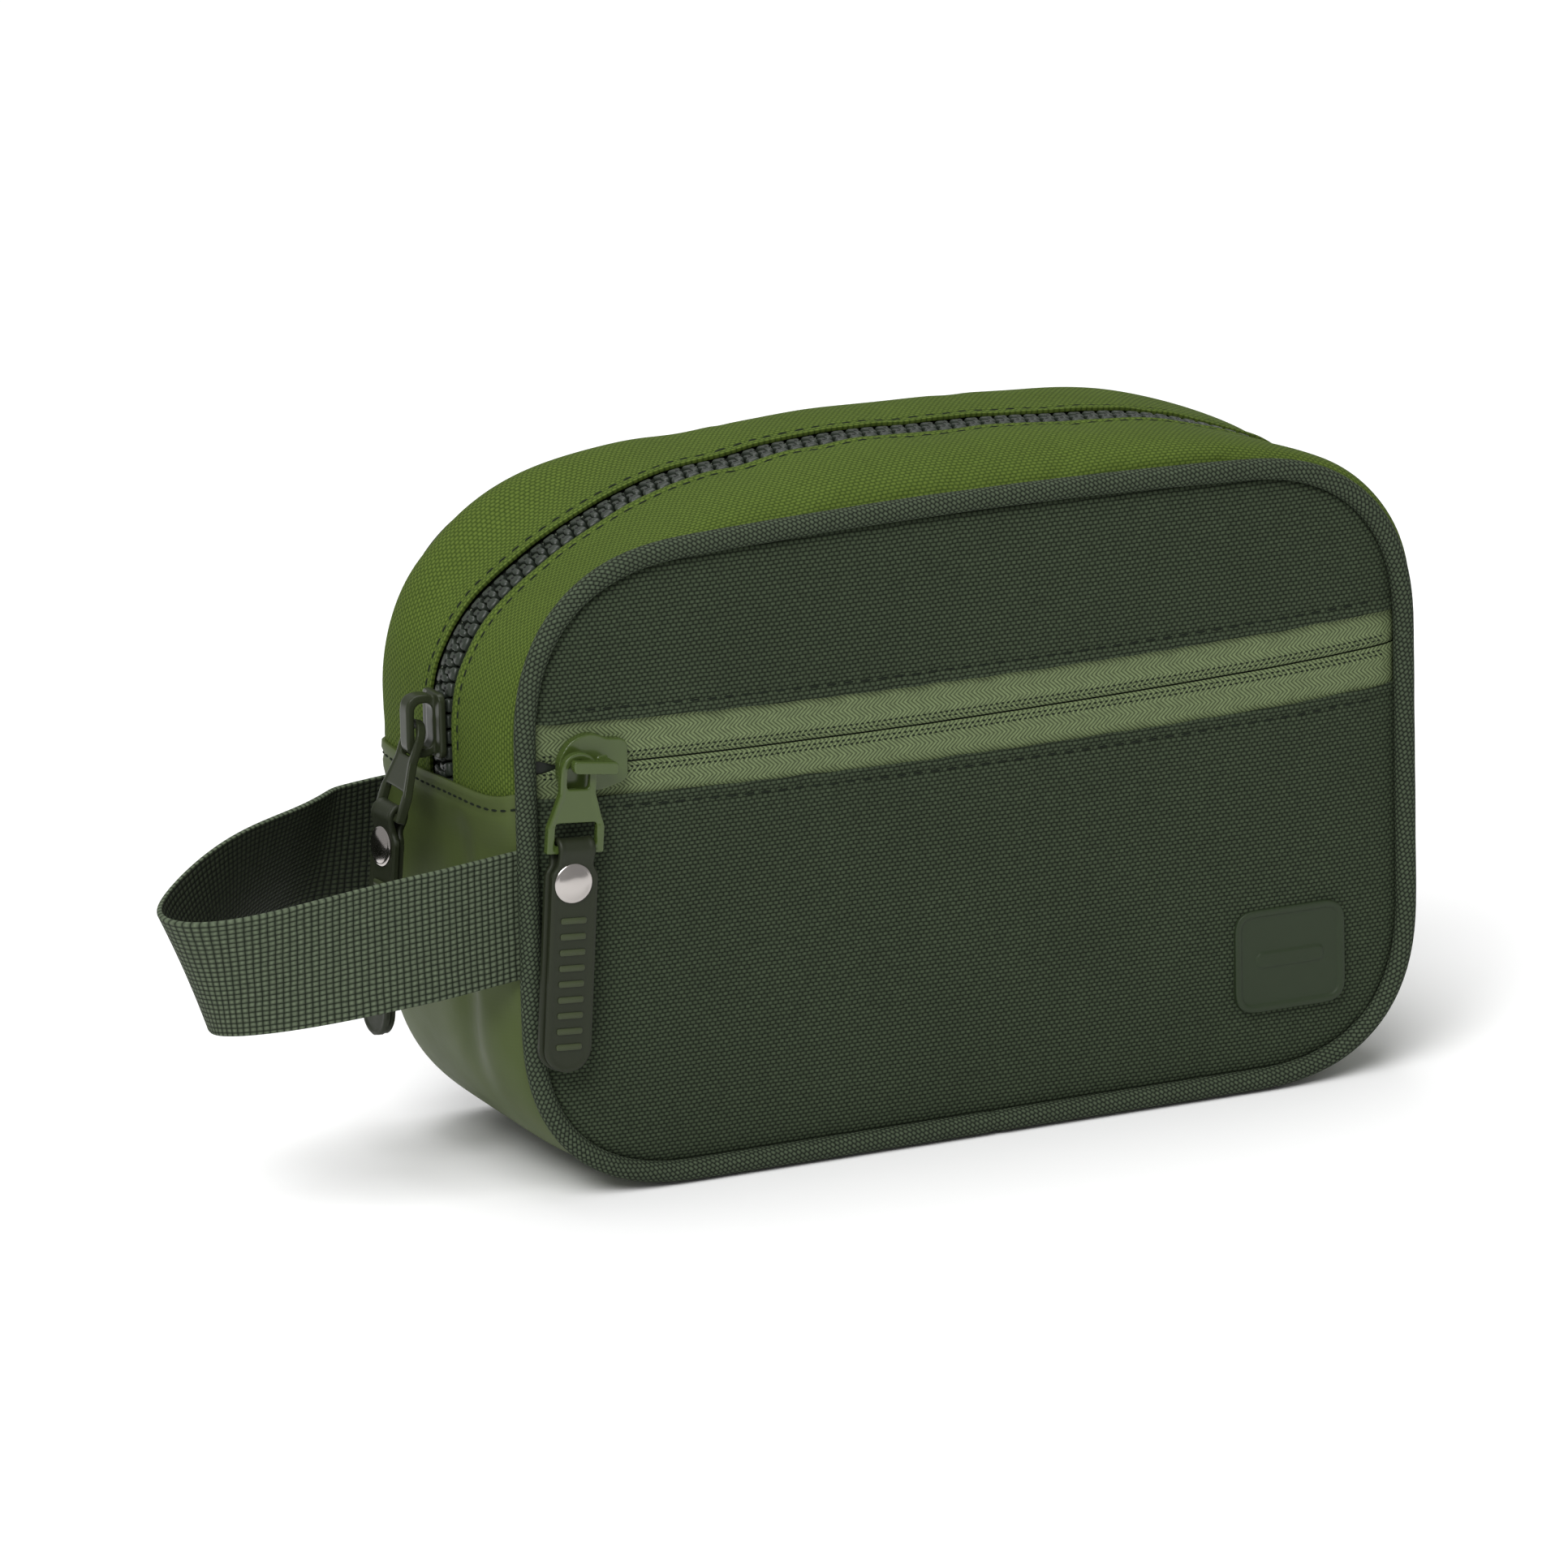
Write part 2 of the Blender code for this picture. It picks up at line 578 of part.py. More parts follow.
def make_teeth(name, side):
    """A comb bent along the crown line: a root strip with one tooth every pitch."""
    path = both_sides(spaced(half_crown(CHAIN_DENSITY), ZIP_END + CHAIN_INSET, "top", CHAIN_STATIONS))
    lengths = running_lengths(path)
    shift = 0.0 if side < 0 else TOOTH_PITCH / 2
    stations = []
    for k in range(int(lengths[-1] / TOOTH_PITCH)):
        for start, tooth in ((k * TOOTH_PITCH, True), ((k + 0.5) * TOOTH_PITCH, False)):
            want = min(start + shift, lengths[-1])
            i = segment(lengths, want)
            size = math.dist(path[i - 1], path[i])
            out = ((path[i - 1][1] - path[i][1]) / size, (path[i][0] - path[i - 1][0]) / size)
            stations.append((along(path, lengths, want), out, tooth))
    section = ((CHAIN_HALF, 0), (TOOTH_ROOT, 0), (CHAIN_SLOT, 0),
               (CHAIN_SLOT, 1), (TOOTH_ROOT, 1), (CHAIN_HALF, 1))
    shape = bmesh.new()
    rings = []
    for (x, z), (nx, nz), tooth in stations:
        ring = []
        for y, depth in section:
            drop = -CHAIN_SINK - depth * TOOTH_THICK
            ring.append(shape.verts.new((x + nx * drop, side * y, z + nz * drop)))
        rings.append((ring, tooth))
    for (first, tooth), (second, _) in zip(rings, rings[1:]):
        shape.faces.new((first[0], first[1], second[1], second[0]))
        shape.faces.new((first[4], first[5], second[5], second[4]))
        shape.faces.new((first[5], first[0], second[0], second[5]))
        if tooth:
            shape.faces.new((first[1], first[2], second[2], second[1]))
            shape.faces.new((first[2], first[3], second[3], second[2]))
            shape.faces.new((first[3], first[4], second[4], second[3]))
            shape.faces.new((first[1], first[4], first[3], first[2]))
            shape.faces.new((second[1], second[2], second[3], second[4]))
        else:
            shape.faces.new((first[1], first[4], second[4], second[1]))
    for ring, way in ((rings[0][0], 1), (rings[-1][0], -1)):
        shape.faces.new([ring[k] for k in (0, 1, 4, 5)][::way])
    loose = [v for v in shape.verts if not v.link_faces]
    bmesh.ops.delete(shape, geom=loose, context="VERTS")
    bmesh.ops.recalc_face_normals(shape, faces=shape.faces)
    mesh = bpy.data.meshes.new("comb")
    shape.to_mesh(mesh)
    shape.free()
    place(f"main_zip_teeth_{name}", mesh, "teeth")


def make_piping():
    """A fabric cover folded round a cord, open on its inner side where it is sewn into the seam."""
    loop = seam_loop()
    for name, side in (("front", -1), ("rear", 1)):
        rows = []
        for k, point in enumerate(loop):
            before, after = loop[k - 1], loop[(k + 1) % len(loop)]
            run = (after[0] - before[0], after[1] - before[1])
            size = math.hypot(*run)
            out = (run[1] / size, -run[0] / size)
            row = []
            for n in range(PIPING_FACES + 1):
                angle = math.radians(PIPING_WRAP * (2 * n / PIPING_FACES - 1))
                reach = PIPING_RADIUS * math.cos(angle)
                y = side * HALF_DEPTH + PIPING_RADIUS * math.sin(angle)
                row.append((point[0] + out[0] * reach, y, point[1] + out[1] * reach))
            rows.append(row)
        sheet(f"piping_cover_{name}", rows, PIPING_WALL, "piping_weave", closed=True)
        curve = bpy.data.curves.new("cord", "CURVE")
        curve.dimensions = "3D"
        curve.bevel_depth = CORD_RADIUS
        curve.bevel_resolution = 1
        spline = curve.splines.new("POLY")
        spline.points.add(len(loop) - 1)
        for target, (x, z) in zip(spline.points, loop):
            target.co = (x, side * HALF_DEPTH, z, 1.0)
        spline.use_cyclic_u = True
        place(f"piping_cord_{name}", as_mesh(bpy.data.objects.new("cord", curve)), "cord")


def make_badge():
    """A small plain rubber patch near the front's lower right corner."""
    outline = rounded(rectangle(*BADGE), BADGE_CORNER)
    panel("badge", [outline], -PANEL_FACE - GAP - BADGE_THICK / 2, BADGE_THICK, "badge_rubber")


def puller_mesh():
    """Ring, plate and fork in the XZ plane, with the ring bar's centre at the origin."""
    outline = rounded(PULLER_OUTLINE, PULLER_ROUNDING, 3)
    ring_hole = rounded(rectangle(*RING_HOLE), RING_HOLE_ROUNDING, 2)
    fork_hole = rounded(rectangle(*FORK_HOLE), FORK_HOLE_ROUNDING, 2)
    return upright(outline_mesh([outline, ring_hole, fork_hole], PULLER))


def hairpin():
    """The strap's side view: down one layer, round the bar and down the other, as (y, z) points."""
    inner = PULLER / 2 + BAR_CLEARANCE
    outer = inner + STRAP_LAYER
    slit = STRAP_SLIT / 2
    face = slit + STRAP_LAYER
    points = [(-face, -STRAP_LENGTH), (-face, STRAP_JOINT)]
    points += arc((0.0, 0.0), outer, 205, -25, 12)
    points += [(face, STRAP_JOINT), (face, -STRAP_LENGTH), (slit, -STRAP_LENGTH), (slit, STRAP_JOINT)]
    points += arc((0.0, 0.0), inner, -35, 215, 10)
    points += [(-slit, STRAP_JOINT), (-slit, -STRAP_LENGTH)]
    return points


def make_strap(name, origin, turn):
    """A rubber strap folded over the fork bar, with a rivet through both layers."""
    mesh = outline_mesh([hairpin()], STRAP_WIDTH)
    # Drawn as (y, z) in the XY plane: X becomes Y, Y becomes Z, and the width runs along X.
    mesh.transform(Matrix(((0, 0, 1, 0), (1, 0, 0, 0), (0, 1, 0, 0), (0, 0, 0, 1))))
    strap = place(f"{name}_pull_strap", mesh, "rubber", origin, turn)
    half = STRAP_WIDTH / 2
    neck = STRAP_NECK / 2
    high, low = STRAP_SHOULDER
    foot = arc((0.0, -STRAP_LENGTH + half), half, 180, 360, 10)
    outline = [(-neck, half), (-neck, high), (-half, low), *foot, (half, low), (neck, high), (neck, half)]
    cut(strap, cutter(upright(outline_mesh([outline], STRAP_WIDTH)), origin, turn), "INTERSECT")
    hole = cylinder_mesh(RIVET_HOLE, STRAP_WIDTH, 12)
    hole.transform(Matrix.Translation((0.0, 0.0, -RIVET_DROP)))
    cut(strap, cutter(hole, origin, turn), "DIFFERENCE")
    face = STRAP_SLIT / 2 + STRAP_LAYER
    cap = turned(RIVET_CAP)
    cap.transform(Matrix.Translation((0.0, -face - GAP, -RIVET_DROP)))
    place(f"{name}_rivet_cap", cap, "nickel", origin, turn)
    reach = 2 * face + GAP
    post = turned(((0.0, reach), (RIVET_SHANK, reach), *RIVET_FLANGE))
    post.transform(Matrix.Translation((0.0, face + GAP, -RIVET_DROP)))
    place(f"{name}_rivet_post", post, "nickel", origin, turn)


def turned(profile):
    """A turned piece about the Y axis from (radius, height) points, height towards -Y."""
    shape = bmesh.new()
    line = [shape.verts.new((radius, 0.0, height)) for radius, height in profile]
    for first, second in zip(line, line[1:]):
        shape.edges.new((first, second))
    mesh = bpy.data.meshes.new("profile")
    shape.to_mesh(mesh)
    shape.free()
    source = bpy.data.objects.new("profile", mesh)
    screw = source.modifiers.new("turning", "SCREW")
    screw.steps = TURNED_STEPS
    screw.render_steps = TURNED_STEPS
    screw.use_merge_vertices = True
    screw.merge_threshold = TURNED_MERGE
    return upright(as_mesh(source))


def make_pocket_slider():
    """Front plate, bridge, slot post and rear plate in one casting."""
    middle, thick = POCKET_SLIDER_PLATE
    corners = [(x, POCKET_SLIDER_Z + z) for x, z in POCKET_SLIDER_FACE]
    face = rounded(corners, POCKET_SLIDER_ROUNDING, 3)
    body = panel("pocket_slider", [face], middle, thick, "pocket_metal")
    for block in POCKET_SLIDER_BLOCKS:
        corners = [(POCKET_POST_X + x, y, POCKET_SLIDER_Z + z) for x, y, z in block]
        cut(body, cutter(block_mesh(*corners)), "UNION")


def make_main_slider():
    """Outer plate with an oval crown, slot post and inner plate in one casting."""
    side = -CROWN_HALF_LENGTH
    half, reach, thick = MAIN_SLIDER_PLATE
    edges = rectangle(-half, half, CROWN_START - reach, CROWN_START + reach)
    outline = rounded(edges, MAIN_SLIDER_ROUNDING, 3)
    mesh = upright(outline_mesh([outline], thick))
    mesh.transform(Matrix.Rotation(math.radians(90), 4, "Z"))
    body = place("main_slider", mesh, "main_metal", (side - MAIN_SLIDER_OUT, 0.0, 0.0))
    rings = []
    for tip, root, reach, rounding in (MAIN_SLIDER_CROWN, MAIN_SLIDER_WINDOW):
        edges = rectangle(side + tip, side + root, CROWN_START - reach, CROWN_START + reach)
        rings.append(rounded(edges, rounding, 5))
    cut(body, cutter(upright(outline_mesh(rings, MAIN_SLIDER_CROWN_WIDTH))), "UNION")
    for block in MAIN_SLIDER_BLOCKS:
        corners = [(side + x, y, CROWN_START + z) for x, y, z in block]
        cut(body, cutter(block_mesh(*corners)), "UNION")
    move_origin(body, (side + CORNER_TURN[0], 0.0, CROWN_START))


def make_pulls():
    """Both pullers share one shape; the main one is turned to face the bag's left side."""
    tilt = Matrix.Rotation(math.radians(POCKET_TILT), 4, "Y")
    origin = Vector((POCKET_POST_X, POCKET_PULLER_Y, POCKET_SLIDER_Z + RING_BAR_RISE))
    drop = Matrix.Translation((0.0, 0.0, RING_LIFT * MM))
    place("pocket_puller", puller_mesh(), "pocket_metal", origin, tilt @ drop)
    bar = origin + tilt @ Vector((0.0, 0.0, PULLER_BAR + RING_LIFT))
    make_strap("pocket", bar, Matrix.Rotation(math.radians(POCKET_STRAP_TILT), 4, "Y"))
    facing = Matrix.Rotation(math.radians(-90), 4, "Z")
    lean = Matrix.Rotation(math.radians(MAIN_LEAN), 4, "Y")
    place("main_puller", puller_mesh(), "main_metal", MAIN_PIVOT, lean @ facing)
    bar = Vector(MAIN_PIVOT) + lean @ Vector((0.0, 0.0, PULLER_BAR))
    make_strap("main", bar, Matrix.Rotation(math.radians(MAIN_STRAP_LEAN), 4, "Y") @ facing)


def handle_line(share):
    """The webbing loop in plan from its front end to its rear end, as a cubic through four guides."""
    guides = ((WEB_AXIS_X, WEB_FRONT_Y), *WEB_GUIDES, (WEB_AXIS_X, WEB_REAR_Y))
    weights = ((1 - share) ** 3, 3 * share * (1 - share) ** 2, 3 * share**2 * (1 - share), share**3)
    return tuple(sum(w * g[axis] for w, g in zip(weights, guides)) for axis in (0, 1))


def make_handle():
    """The free loop of webbing; each end is a half round about the tilt axis, clear of the bag."""
    radius = WEB_HEIGHT / 2
    turns = [math.pi / 2 * (k + WEB_END_SHARE) / WEB_END_STATIONS for k in range(WEB_END_STATIONS)]
    ends = [(WEB_AXIS_X + radius * math.cos(turn), radius * math.sin(turn)) for turn in turns]
    stations = [((x, WEB_FRONT_Y), half) for x, half in ends]
    stations += [(handle_line(k / WEB_STATIONS), radius) for k in range(WEB_STATIONS + 1)]
    stations += [((x, WEB_REAR_Y), half) for x, half in ends[::-1]]
    rows = []
    for k, ((x, y), half) in enumerate(stations):
        a = stations[max(k - 1, 0)][0]
        b = stations[min(k + 1, len(stations) - 1)][0]
        length = math.dist(a, b)
        out = ((b[1] - a[1]) / -length, (b[0] - a[0]) / length)
        reach = min(1.0, max(0.0, (WEB_AXIS_X - x) / (WEB_AXIS_X - WEB_TIP_X)))
        middle = WEB_ROOT_Z + (WEB_TIP_Z - WEB_ROOT_Z) * reach
        row = []
        for level in (-1, 1):
            lean = WEB_FLARE * level * reach
            row.append((x + out[0] * lean, y + out[1] * lean, middle + level * half))
        rows.append(row)
    handle = sheet("handle_webbing", rows, WEB, "webbing", offset=0.0)
    move_origin(handle, (WEB_AXIS_X, 0.0, WEB_ROOT_Z))


clear_scene()
PARTS = new_collection("wash_bag")
CUTTERS = new_collection("cutters")
make_panels()
make_pocket_zip()
make_gussets()
make_main_zip()
make_piping()
make_badge()
make_pocket_slider()
make_main_slider()
make_pulls()
make_handle()
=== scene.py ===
"""The looks of a zipped wash bag: padded panels, piping, moulded and coil zips, pulls and webbing.

The frame's own boxes and joints give the places. The small helpers below take millimetres, and
the functions that make objects turn them into metres.
"""

import json
import math

import bmesh
import bpy
import numpy as np
from mathutils import Matrix, Vector, noise
from mathutils.bvhtree import BVHTree


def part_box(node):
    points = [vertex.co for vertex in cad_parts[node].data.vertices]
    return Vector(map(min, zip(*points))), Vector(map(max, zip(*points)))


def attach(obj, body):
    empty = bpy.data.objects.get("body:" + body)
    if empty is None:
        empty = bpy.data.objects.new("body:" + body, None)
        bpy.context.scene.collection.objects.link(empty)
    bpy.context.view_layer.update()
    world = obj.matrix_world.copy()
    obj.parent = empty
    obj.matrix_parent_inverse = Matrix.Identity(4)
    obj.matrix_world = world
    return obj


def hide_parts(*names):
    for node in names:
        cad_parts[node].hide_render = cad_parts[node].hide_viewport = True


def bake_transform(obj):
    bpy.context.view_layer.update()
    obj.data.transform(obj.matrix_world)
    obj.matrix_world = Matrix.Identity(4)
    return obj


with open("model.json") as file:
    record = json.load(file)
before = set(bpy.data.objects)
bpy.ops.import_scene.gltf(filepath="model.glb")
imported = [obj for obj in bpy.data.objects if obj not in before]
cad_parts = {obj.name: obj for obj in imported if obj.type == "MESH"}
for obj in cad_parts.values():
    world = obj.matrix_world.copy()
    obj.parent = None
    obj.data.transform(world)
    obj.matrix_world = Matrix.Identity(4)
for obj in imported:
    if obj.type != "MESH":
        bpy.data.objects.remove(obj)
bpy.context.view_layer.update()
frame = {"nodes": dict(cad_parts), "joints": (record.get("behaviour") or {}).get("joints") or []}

MM = 0.001


def box_mm(node):
    low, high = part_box(node)
    return np.array(low) / MM, np.array(high) / MM


def joint_mm(name):
    found = next(joint for joint in frame["joints"] if joint["name"] == name)
    return np.array(found["pos_m"]) / MM


# The bag's outline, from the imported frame.
COVER_LOW, COVER_HIGH = box_mm("piping_cover_front")
GUSSET_LOW, GUSSET_HIGH = box_mm("top_gusset_front")
BADGE_LOW, BADGE_HIGH = box_mm("badge")
TURN = joint_mm("main_slider_travel")
PIPING_RADIUS = 2.65
HALF_LENGTH = COVER_HIGH[0] - PIPING_RADIUS
HALF_DEPTH = -(COVER_LOW[1] + COVER_HIGH[1]) / 2
SEAM_ARCH = 4.4
SEAM_BOTTOM = COVER_LOW[2] + PIPING_RADIUS
SEAM_TOP = COVER_HIGH[2] - PIPING_RADIUS - SEAM_ARCH
CORD_SHARE = 0.64  # of the piping's radius, taken by the cord inside it
CORNER = 43.7
CORNER_POWER = 2.5
CORNER_POINTS = 24
TOP_POINTS = 11
CROWN_HALF_LENGTH = -GUSSET_LOW[0]
CROWN_START = TURN[2]
LEFT_SHOULDER = (CROWN_START, 52.0, 127.0)  # start of the turn, degrees of the tight arc, wide radius
RIGHT_SHOULDER = (CROWN_START + 6.63, 64.9, 167.0)
CROWN_WAVES = ((0.9, -12.0, 14.0), (-1.3, 43.0, 17.0), (-1.1, -45.0, 9.0))  # height, x and half width
FOOT_RADIUS = 42.0
ZIP_END = GUSSET_LOW[2]
BAG_MIDDLE = np.array((0.0, 0.0, (CROWN_START + SEAM_BOTTOM) / 2))
SEAM_DRAW = {-1: 0.0, 1: 2.9}  # how far the rear seam is drawn in behind the fuller rear of the gusset

# Front and rear panels.
PANEL_INSET = 2.0  # of the panels' hidden edge, from the seam loop
PANEL_EDGE_Y = 38.8
PANEL_RISE = 3.2  # how far the padding holds the fabric in front of its edge
PANEL_POWER = 0.42  # below 1, the rise is steep at the edge and flat in the middle
PANEL_THICK = 1.0
HEM_STITCH = 3.0  # from a folded edge to its topstitch
STITCH = (3.3, 1.2, 0.24)  # length, gap and radius of a topstitch
HEM_STITCH_SIZE = (2.4, 0.9, 0.32)
STITCH_LIFT = (-1.2, 0.1, 0.3, 0.1, -1.2)  # in radii, along a stitch that dives in at both ends
STITCH_TAPER = (0.6, 1, 1, 1, 0.6)
CLOTH_PRESSURE = 4.0
CLOTH_FRAMES = 20
FACE_CELLS = (76, 50)  # along and up the simulated fabric of each face
PUCKER = 0.75

# Pocket zip: heights at the left end, the middle and the right end.
FOLD_HIGH = (118.9, 115.9, 117.8)
SPLIT = (108.0, 106.0, 109.0)
FOLD_LOW = (100.6, 97.1, 99.0)
TAPE_HALF_LENGTH = 116.0
TAPE_SINK = 1.0  # how far the tape lies behind the panels' faces
TAPE_OVERLAP = 4.0
SPLIT_GAP = 0.2
TAPE_STITCH_ROWS = (1.3, 2.35)
TAPE_STITCH = (0.75, 0.75, 0.22)

# Gussets and main zip.
SEWN_Y = 36.7
FOLDS = {-1: (8.3, 6.5), 1: (5.8, 5.5)}  # y of each gusset's fold beside the zip, low down and at the top
SEWN_REACH = {-1: 0.9, 1: 1.6}  # how far past SEWN_Y each gusset runs before it turns in to the seam
FULLNESS_X = (-80.0, -35.0, 30.0, 70.0)  # places along the bag
FULLNESS = {-1: (2.2, 2.2, 2.4, 4.2), 1: (8.0, 3.4, 4.2, 6.0)}  # power of each gusset's rounded section there
BULGES = {-1: (104.0, 2.3), 1: (-94.0, 6.5)}  # x and height of each gusset's fuller part beside the seam
SEAM_INSET = 0.6
GUSSET_THICK = 0.9
GUSSET_STATIONS = 110
HEM_Y = (-37.0, -34.0, -28.0, -21.0, -11.0, 1.0, 13.0, 26.0, 37.0)  # places across the coated gusset's hem
HEM_Z = (101.9, 100.9, 99.9, 99.6, 99.2, 98.3, 97.4, 98.6, 98.8)
UNDERLAP = 8.0  # how far the top gussets run under the coated gusset's hem
COATED_LIFT = 0.9
TOOTH_PITCH = 4.0
TOOTH_SINK = 0.3
TOOTH = ((-1.35, 4.35), (1.35, 4.35), (1.7, 3.9), (1.6, 2.7), (0.85, 1.8), (0.72, 0.9), (0.93, 0.1),
         (0.9, -0.7), (0.5, -1.1), (-0.5, -1.1), (-0.9, -0.7), (-0.93, 0.1), (-0.72, 0.9), (-0.85, 1.8),
         (-1.6, 2.7), (-1.7, 3.9))
TOOTH_CENTRE = np.array((0.0, 2.0))
TOOTH_LAYERS = ((1.0, -2.1), (1.0, -0.85), (0.96, -0.5), (0.87, -0.2), (0.7, 0.0))  # share and height
TOOTH_PIT = (0.42, 0.5, 1.75)  # half length, half width and place of the recess in a tooth's face, drawn as a dark disc of painted shade
MAIN_TAPE_SINK = 1.7
MAIN_TAPE_STITCH = (0.9, 1.1, 0.2)
TAPE_DOT_Y = 5.1

# Pulls.
RING_LIFT = 3.2
POCKET_TILT = 5.0  # degrees, as are the other tilts and leans
POCKET_STRAP_TILT = 4.0
MAIN_LEAN = 20.0
MAIN_STRAP_LEAN = 5.0
MAIN_STRAP_TWIST = 6.0  # degrees that its play on the bar lets it turn to the front
STRAP_LENGTH = 55.0
STRAP_WIDTH = 11.9
STRAP_NECK = 9.2
STRAP_LAYER = 1.6
STRAP_RIM = (0.22, 1.0)  # height and width
GRIP_COUNT = 9
GRIP_FIRST = 6.4  # from the strap's end to the first grip bar
GRIP_STEP = 3.9
RIVET_DROP = 8.1
RIVET_DOME = ((0.0, 1.75), (1.6, 1.68), (3.0, 1.35), (3.9, 0.9), (4.25, 0.72), (4.6, 0.66), (4.85, 0.42),
              (4.8, 0.12), (4.55, 0.0), (0.0, 0.0))  # radius and height
RIVET_BACK = ((0.0, 3.2), (1.2, 3.2), (1.2, 0.1), (3.9, 0.1), (4.2, -0.15), (4.2, -0.5), (3.6, -0.8),
              (2.2, -1.0), (0.0, -1.05))
PULLER_RING = (0.0, -3.9)
PULLER_SIDE = ((4.7, -4.0), (4.6, -9.3), (6.3, -14.6), (7.3, -17.4), (7.4, -23.9))
PULLER_HOLE = ((2.9, -7.6), (2.5, -8.2))

POCKET_SHIELD = ((-2.4, -3.6), (-2.3, 1.2), (0.0, 4.5), (3.0, 5.8), (5.8, 5.8), (8.6, 4.2), (13.2, 3.7),
                 (13.2, -4.6), (7.5, -6.0), (0.5, -5.6))  # from the puller's axis
POCKET_POSTS = ((0.0, 0.8), (7.7, -0.3))
POCKET_BRIDGE = ((-2.2, -0.5), (9.3, -2.1), (9.3, 1.0), (-2.2, 2.6))

# Webbing.
WEB_HEIGHT = 31.8
WEB_THICK = 1.5
WEB_ROOTS = ((-117.4, -38.2), (-115.0, 38.2))
WEB_SHARES = (0.0, 0.2, 0.5, 0.66, 0.82, 1.0)  # along the webbing from the front seam to the rear one
WEB_MIDDLE = (72.3, 69.5, 61.2, 71.4, 73.9, 73.4)  # height of its middle there
WEB_LEAN = (0.0, -0.7, 7.4, -1.4, -7.5, 0.0)  # how far its upper edge leans out there
WEB_STRAIGHTS = ((-126.0, -38.9), (-126.0, 38.6))  # where its ends still run straight
WEB_CENTRE = np.array((-150.0, 0.0, 66.0))
WEB_GUIDES = ((-139.5, -40.2), (-228.9, -40.0), (-204.8, -2.2), (-139.5, 38.6))


# ---------------------------------------------------------------- lines in the XZ plane


def soft_corner(centre, radius, start):
    """A quarter turn of a superellipse, anticlockwise from start degrees."""
    angles = np.radians(np.linspace(0, 90, CORNER_POINTS + 1))
    along = radius * np.cos(angles) ** (2 / CORNER_POWER)
    across = radius * np.sin(angles) ** (2 / CORNER_POWER)
    turn = math.radians(start)
    x = centre[0] + along * math.cos(turn) - across * math.sin(turn)
    z = centre[1] + along * math.sin(turn) + across * math.cos(turn)
    return np.column_stack((x, z))


def arc(centre, radius, start, end, count=40):
    angles = np.radians(np.linspace(start, end, count + 1))
    return np.column_stack((centre[0] + radius * np.cos(angles), centre[1] + radius * np.sin(angles)))


def arched(points, half):
    """Raises the upper edge by its shallow bow."""
    top = np.clip((points[:, 1] - CROWN_START) / (SEAM_TOP - CROWN_START), 0, 1)
    rise = SEAM_ARCH * (1 - (points[:, 0] / half) ** 2) * top
    return points + np.column_stack((np.zeros(len(points)), rise))


def seam_loop(inset=0.0):
    """The seam, anticlockwise from the right side, drawn in by inset."""
    half = HALF_LENGTH - inset
    radius = CORNER - inset
    low = SEAM_BOTTOM + inset + radius
    high = SEAM_TOP - inset - radius
    x = half - radius
    top_x = np.linspace(x, -x, TOP_POINTS + 2)[1:-1]
    top = np.column_stack((top_x, np.full(TOP_POINTS, high + radius)))
    corners = [soft_corner(c, radius, a) for c, a in (((x, high), 0), ((-x, high), 90), ((-x, low), 180),
                                                      ((x, low), 270))]
    return arched(np.vstack((corners[0], top, *corners[1:])), half)


def half_seam(inset):
    """The seam's left half, from the bottom's middle up to the top's middle, drawn in by inset."""
    x = HALF_LENGTH - CORNER
    radius = CORNER - inset
    low = soft_corner((-x, SEAM_BOTTOM + CORNER), radius, 180)[::-1]
    high = soft_corner((-x, SEAM_TOP - CORNER), radius, 90)[::-1]
    top_x = np.linspace(-x, 0, TOP_POINTS)[1:]
    top = np.column_stack((top_x, np.full(len(top_x), SEAM_TOP - inset)))
    return arched(np.vstack(([(0.0, SEAM_BOTTOM + inset)], low, high, top)), HALF_LENGTH - inset)


def half_crown(shoulder):
    """The line of the gusset's outer surface at mid depth, from the bottom's middle to the top's."""
    start, turn, wide = shoulder
    radius = CROWN_HALF_LENGTH + TURN[0]
    centre = (TURN[0], start)
    joint = 180 - turn
    step = wide - radius
    bearing = math.radians(joint)
    far = (centre[0] - step * math.cos(bearing), centre[1] - step * math.sin(bearing))
    foot = arc((FOOT_RADIUS - CROWN_HALF_LENGTH, FOOT_RADIUS), FOOT_RADIUS, 270, 180)
    tight = arc(centre, radius, 180, joint)
    top = arc(far, wide, joint, 90)[1:]
    return np.vstack(([(0.0, 0.0)], foot, tight, top, [(0.0, top[-1][1])]))


def lengths_along(points, closed=False):
    if closed:
        points = np.vstack((points, points[:1]))
    return np.concatenate(([0], np.cumsum(np.linalg.norm(np.diff(points, axis=0), axis=1))))


def sampled(wanted, places, points):
    """The points at the wanted places along a line whose own points are at these places."""
    return np.column_stack([np.interp(wanted, places, column) for column in points.T])


def even(points, count, closed=False):
    """Evenly spaced points along a line of any dimension."""
    if closed:
        points = np.vstack((points, points[:1]))
    lengths = lengths_along(points)
    wanted = np.linspace(0, lengths[-1], count + 1)
    return sampled(wanted[:-1] if closed else wanted, lengths, points)


def relaxed(line, count, rounds):
    """The line with its bends rounded off and its points evenly spaced."""
    for _ in range(rounds):
        line = even(line, count)
        line[1:-1] = (line[:-2] + line[1:-1] * 2 + line[2:]) / 4
    return line


def tangents(line):
    run = np.gradient(line, axis=0)
    return run / np.linalg.norm(run, axis=1)[:, None]


def to_the_left(run):
    return np.column_stack((-run[:, 1], run[:, 0]))


def side_line(half, height, upward):
    """The part of a half line above, or below, a height."""
    rest = half[half[:, 1] > height] if upward else half[half[:, 1] < height][::-1]
    return np.vstack(([(half[:, 0].min(), height)], rest))


def both_sides(left, right=None):
    """A left half line joined to its mirror image, or to that of another half line of as many points."""
    right = left if right is None else right
    return np.vstack((left, (right * (-1, 1))[-2::-1]))


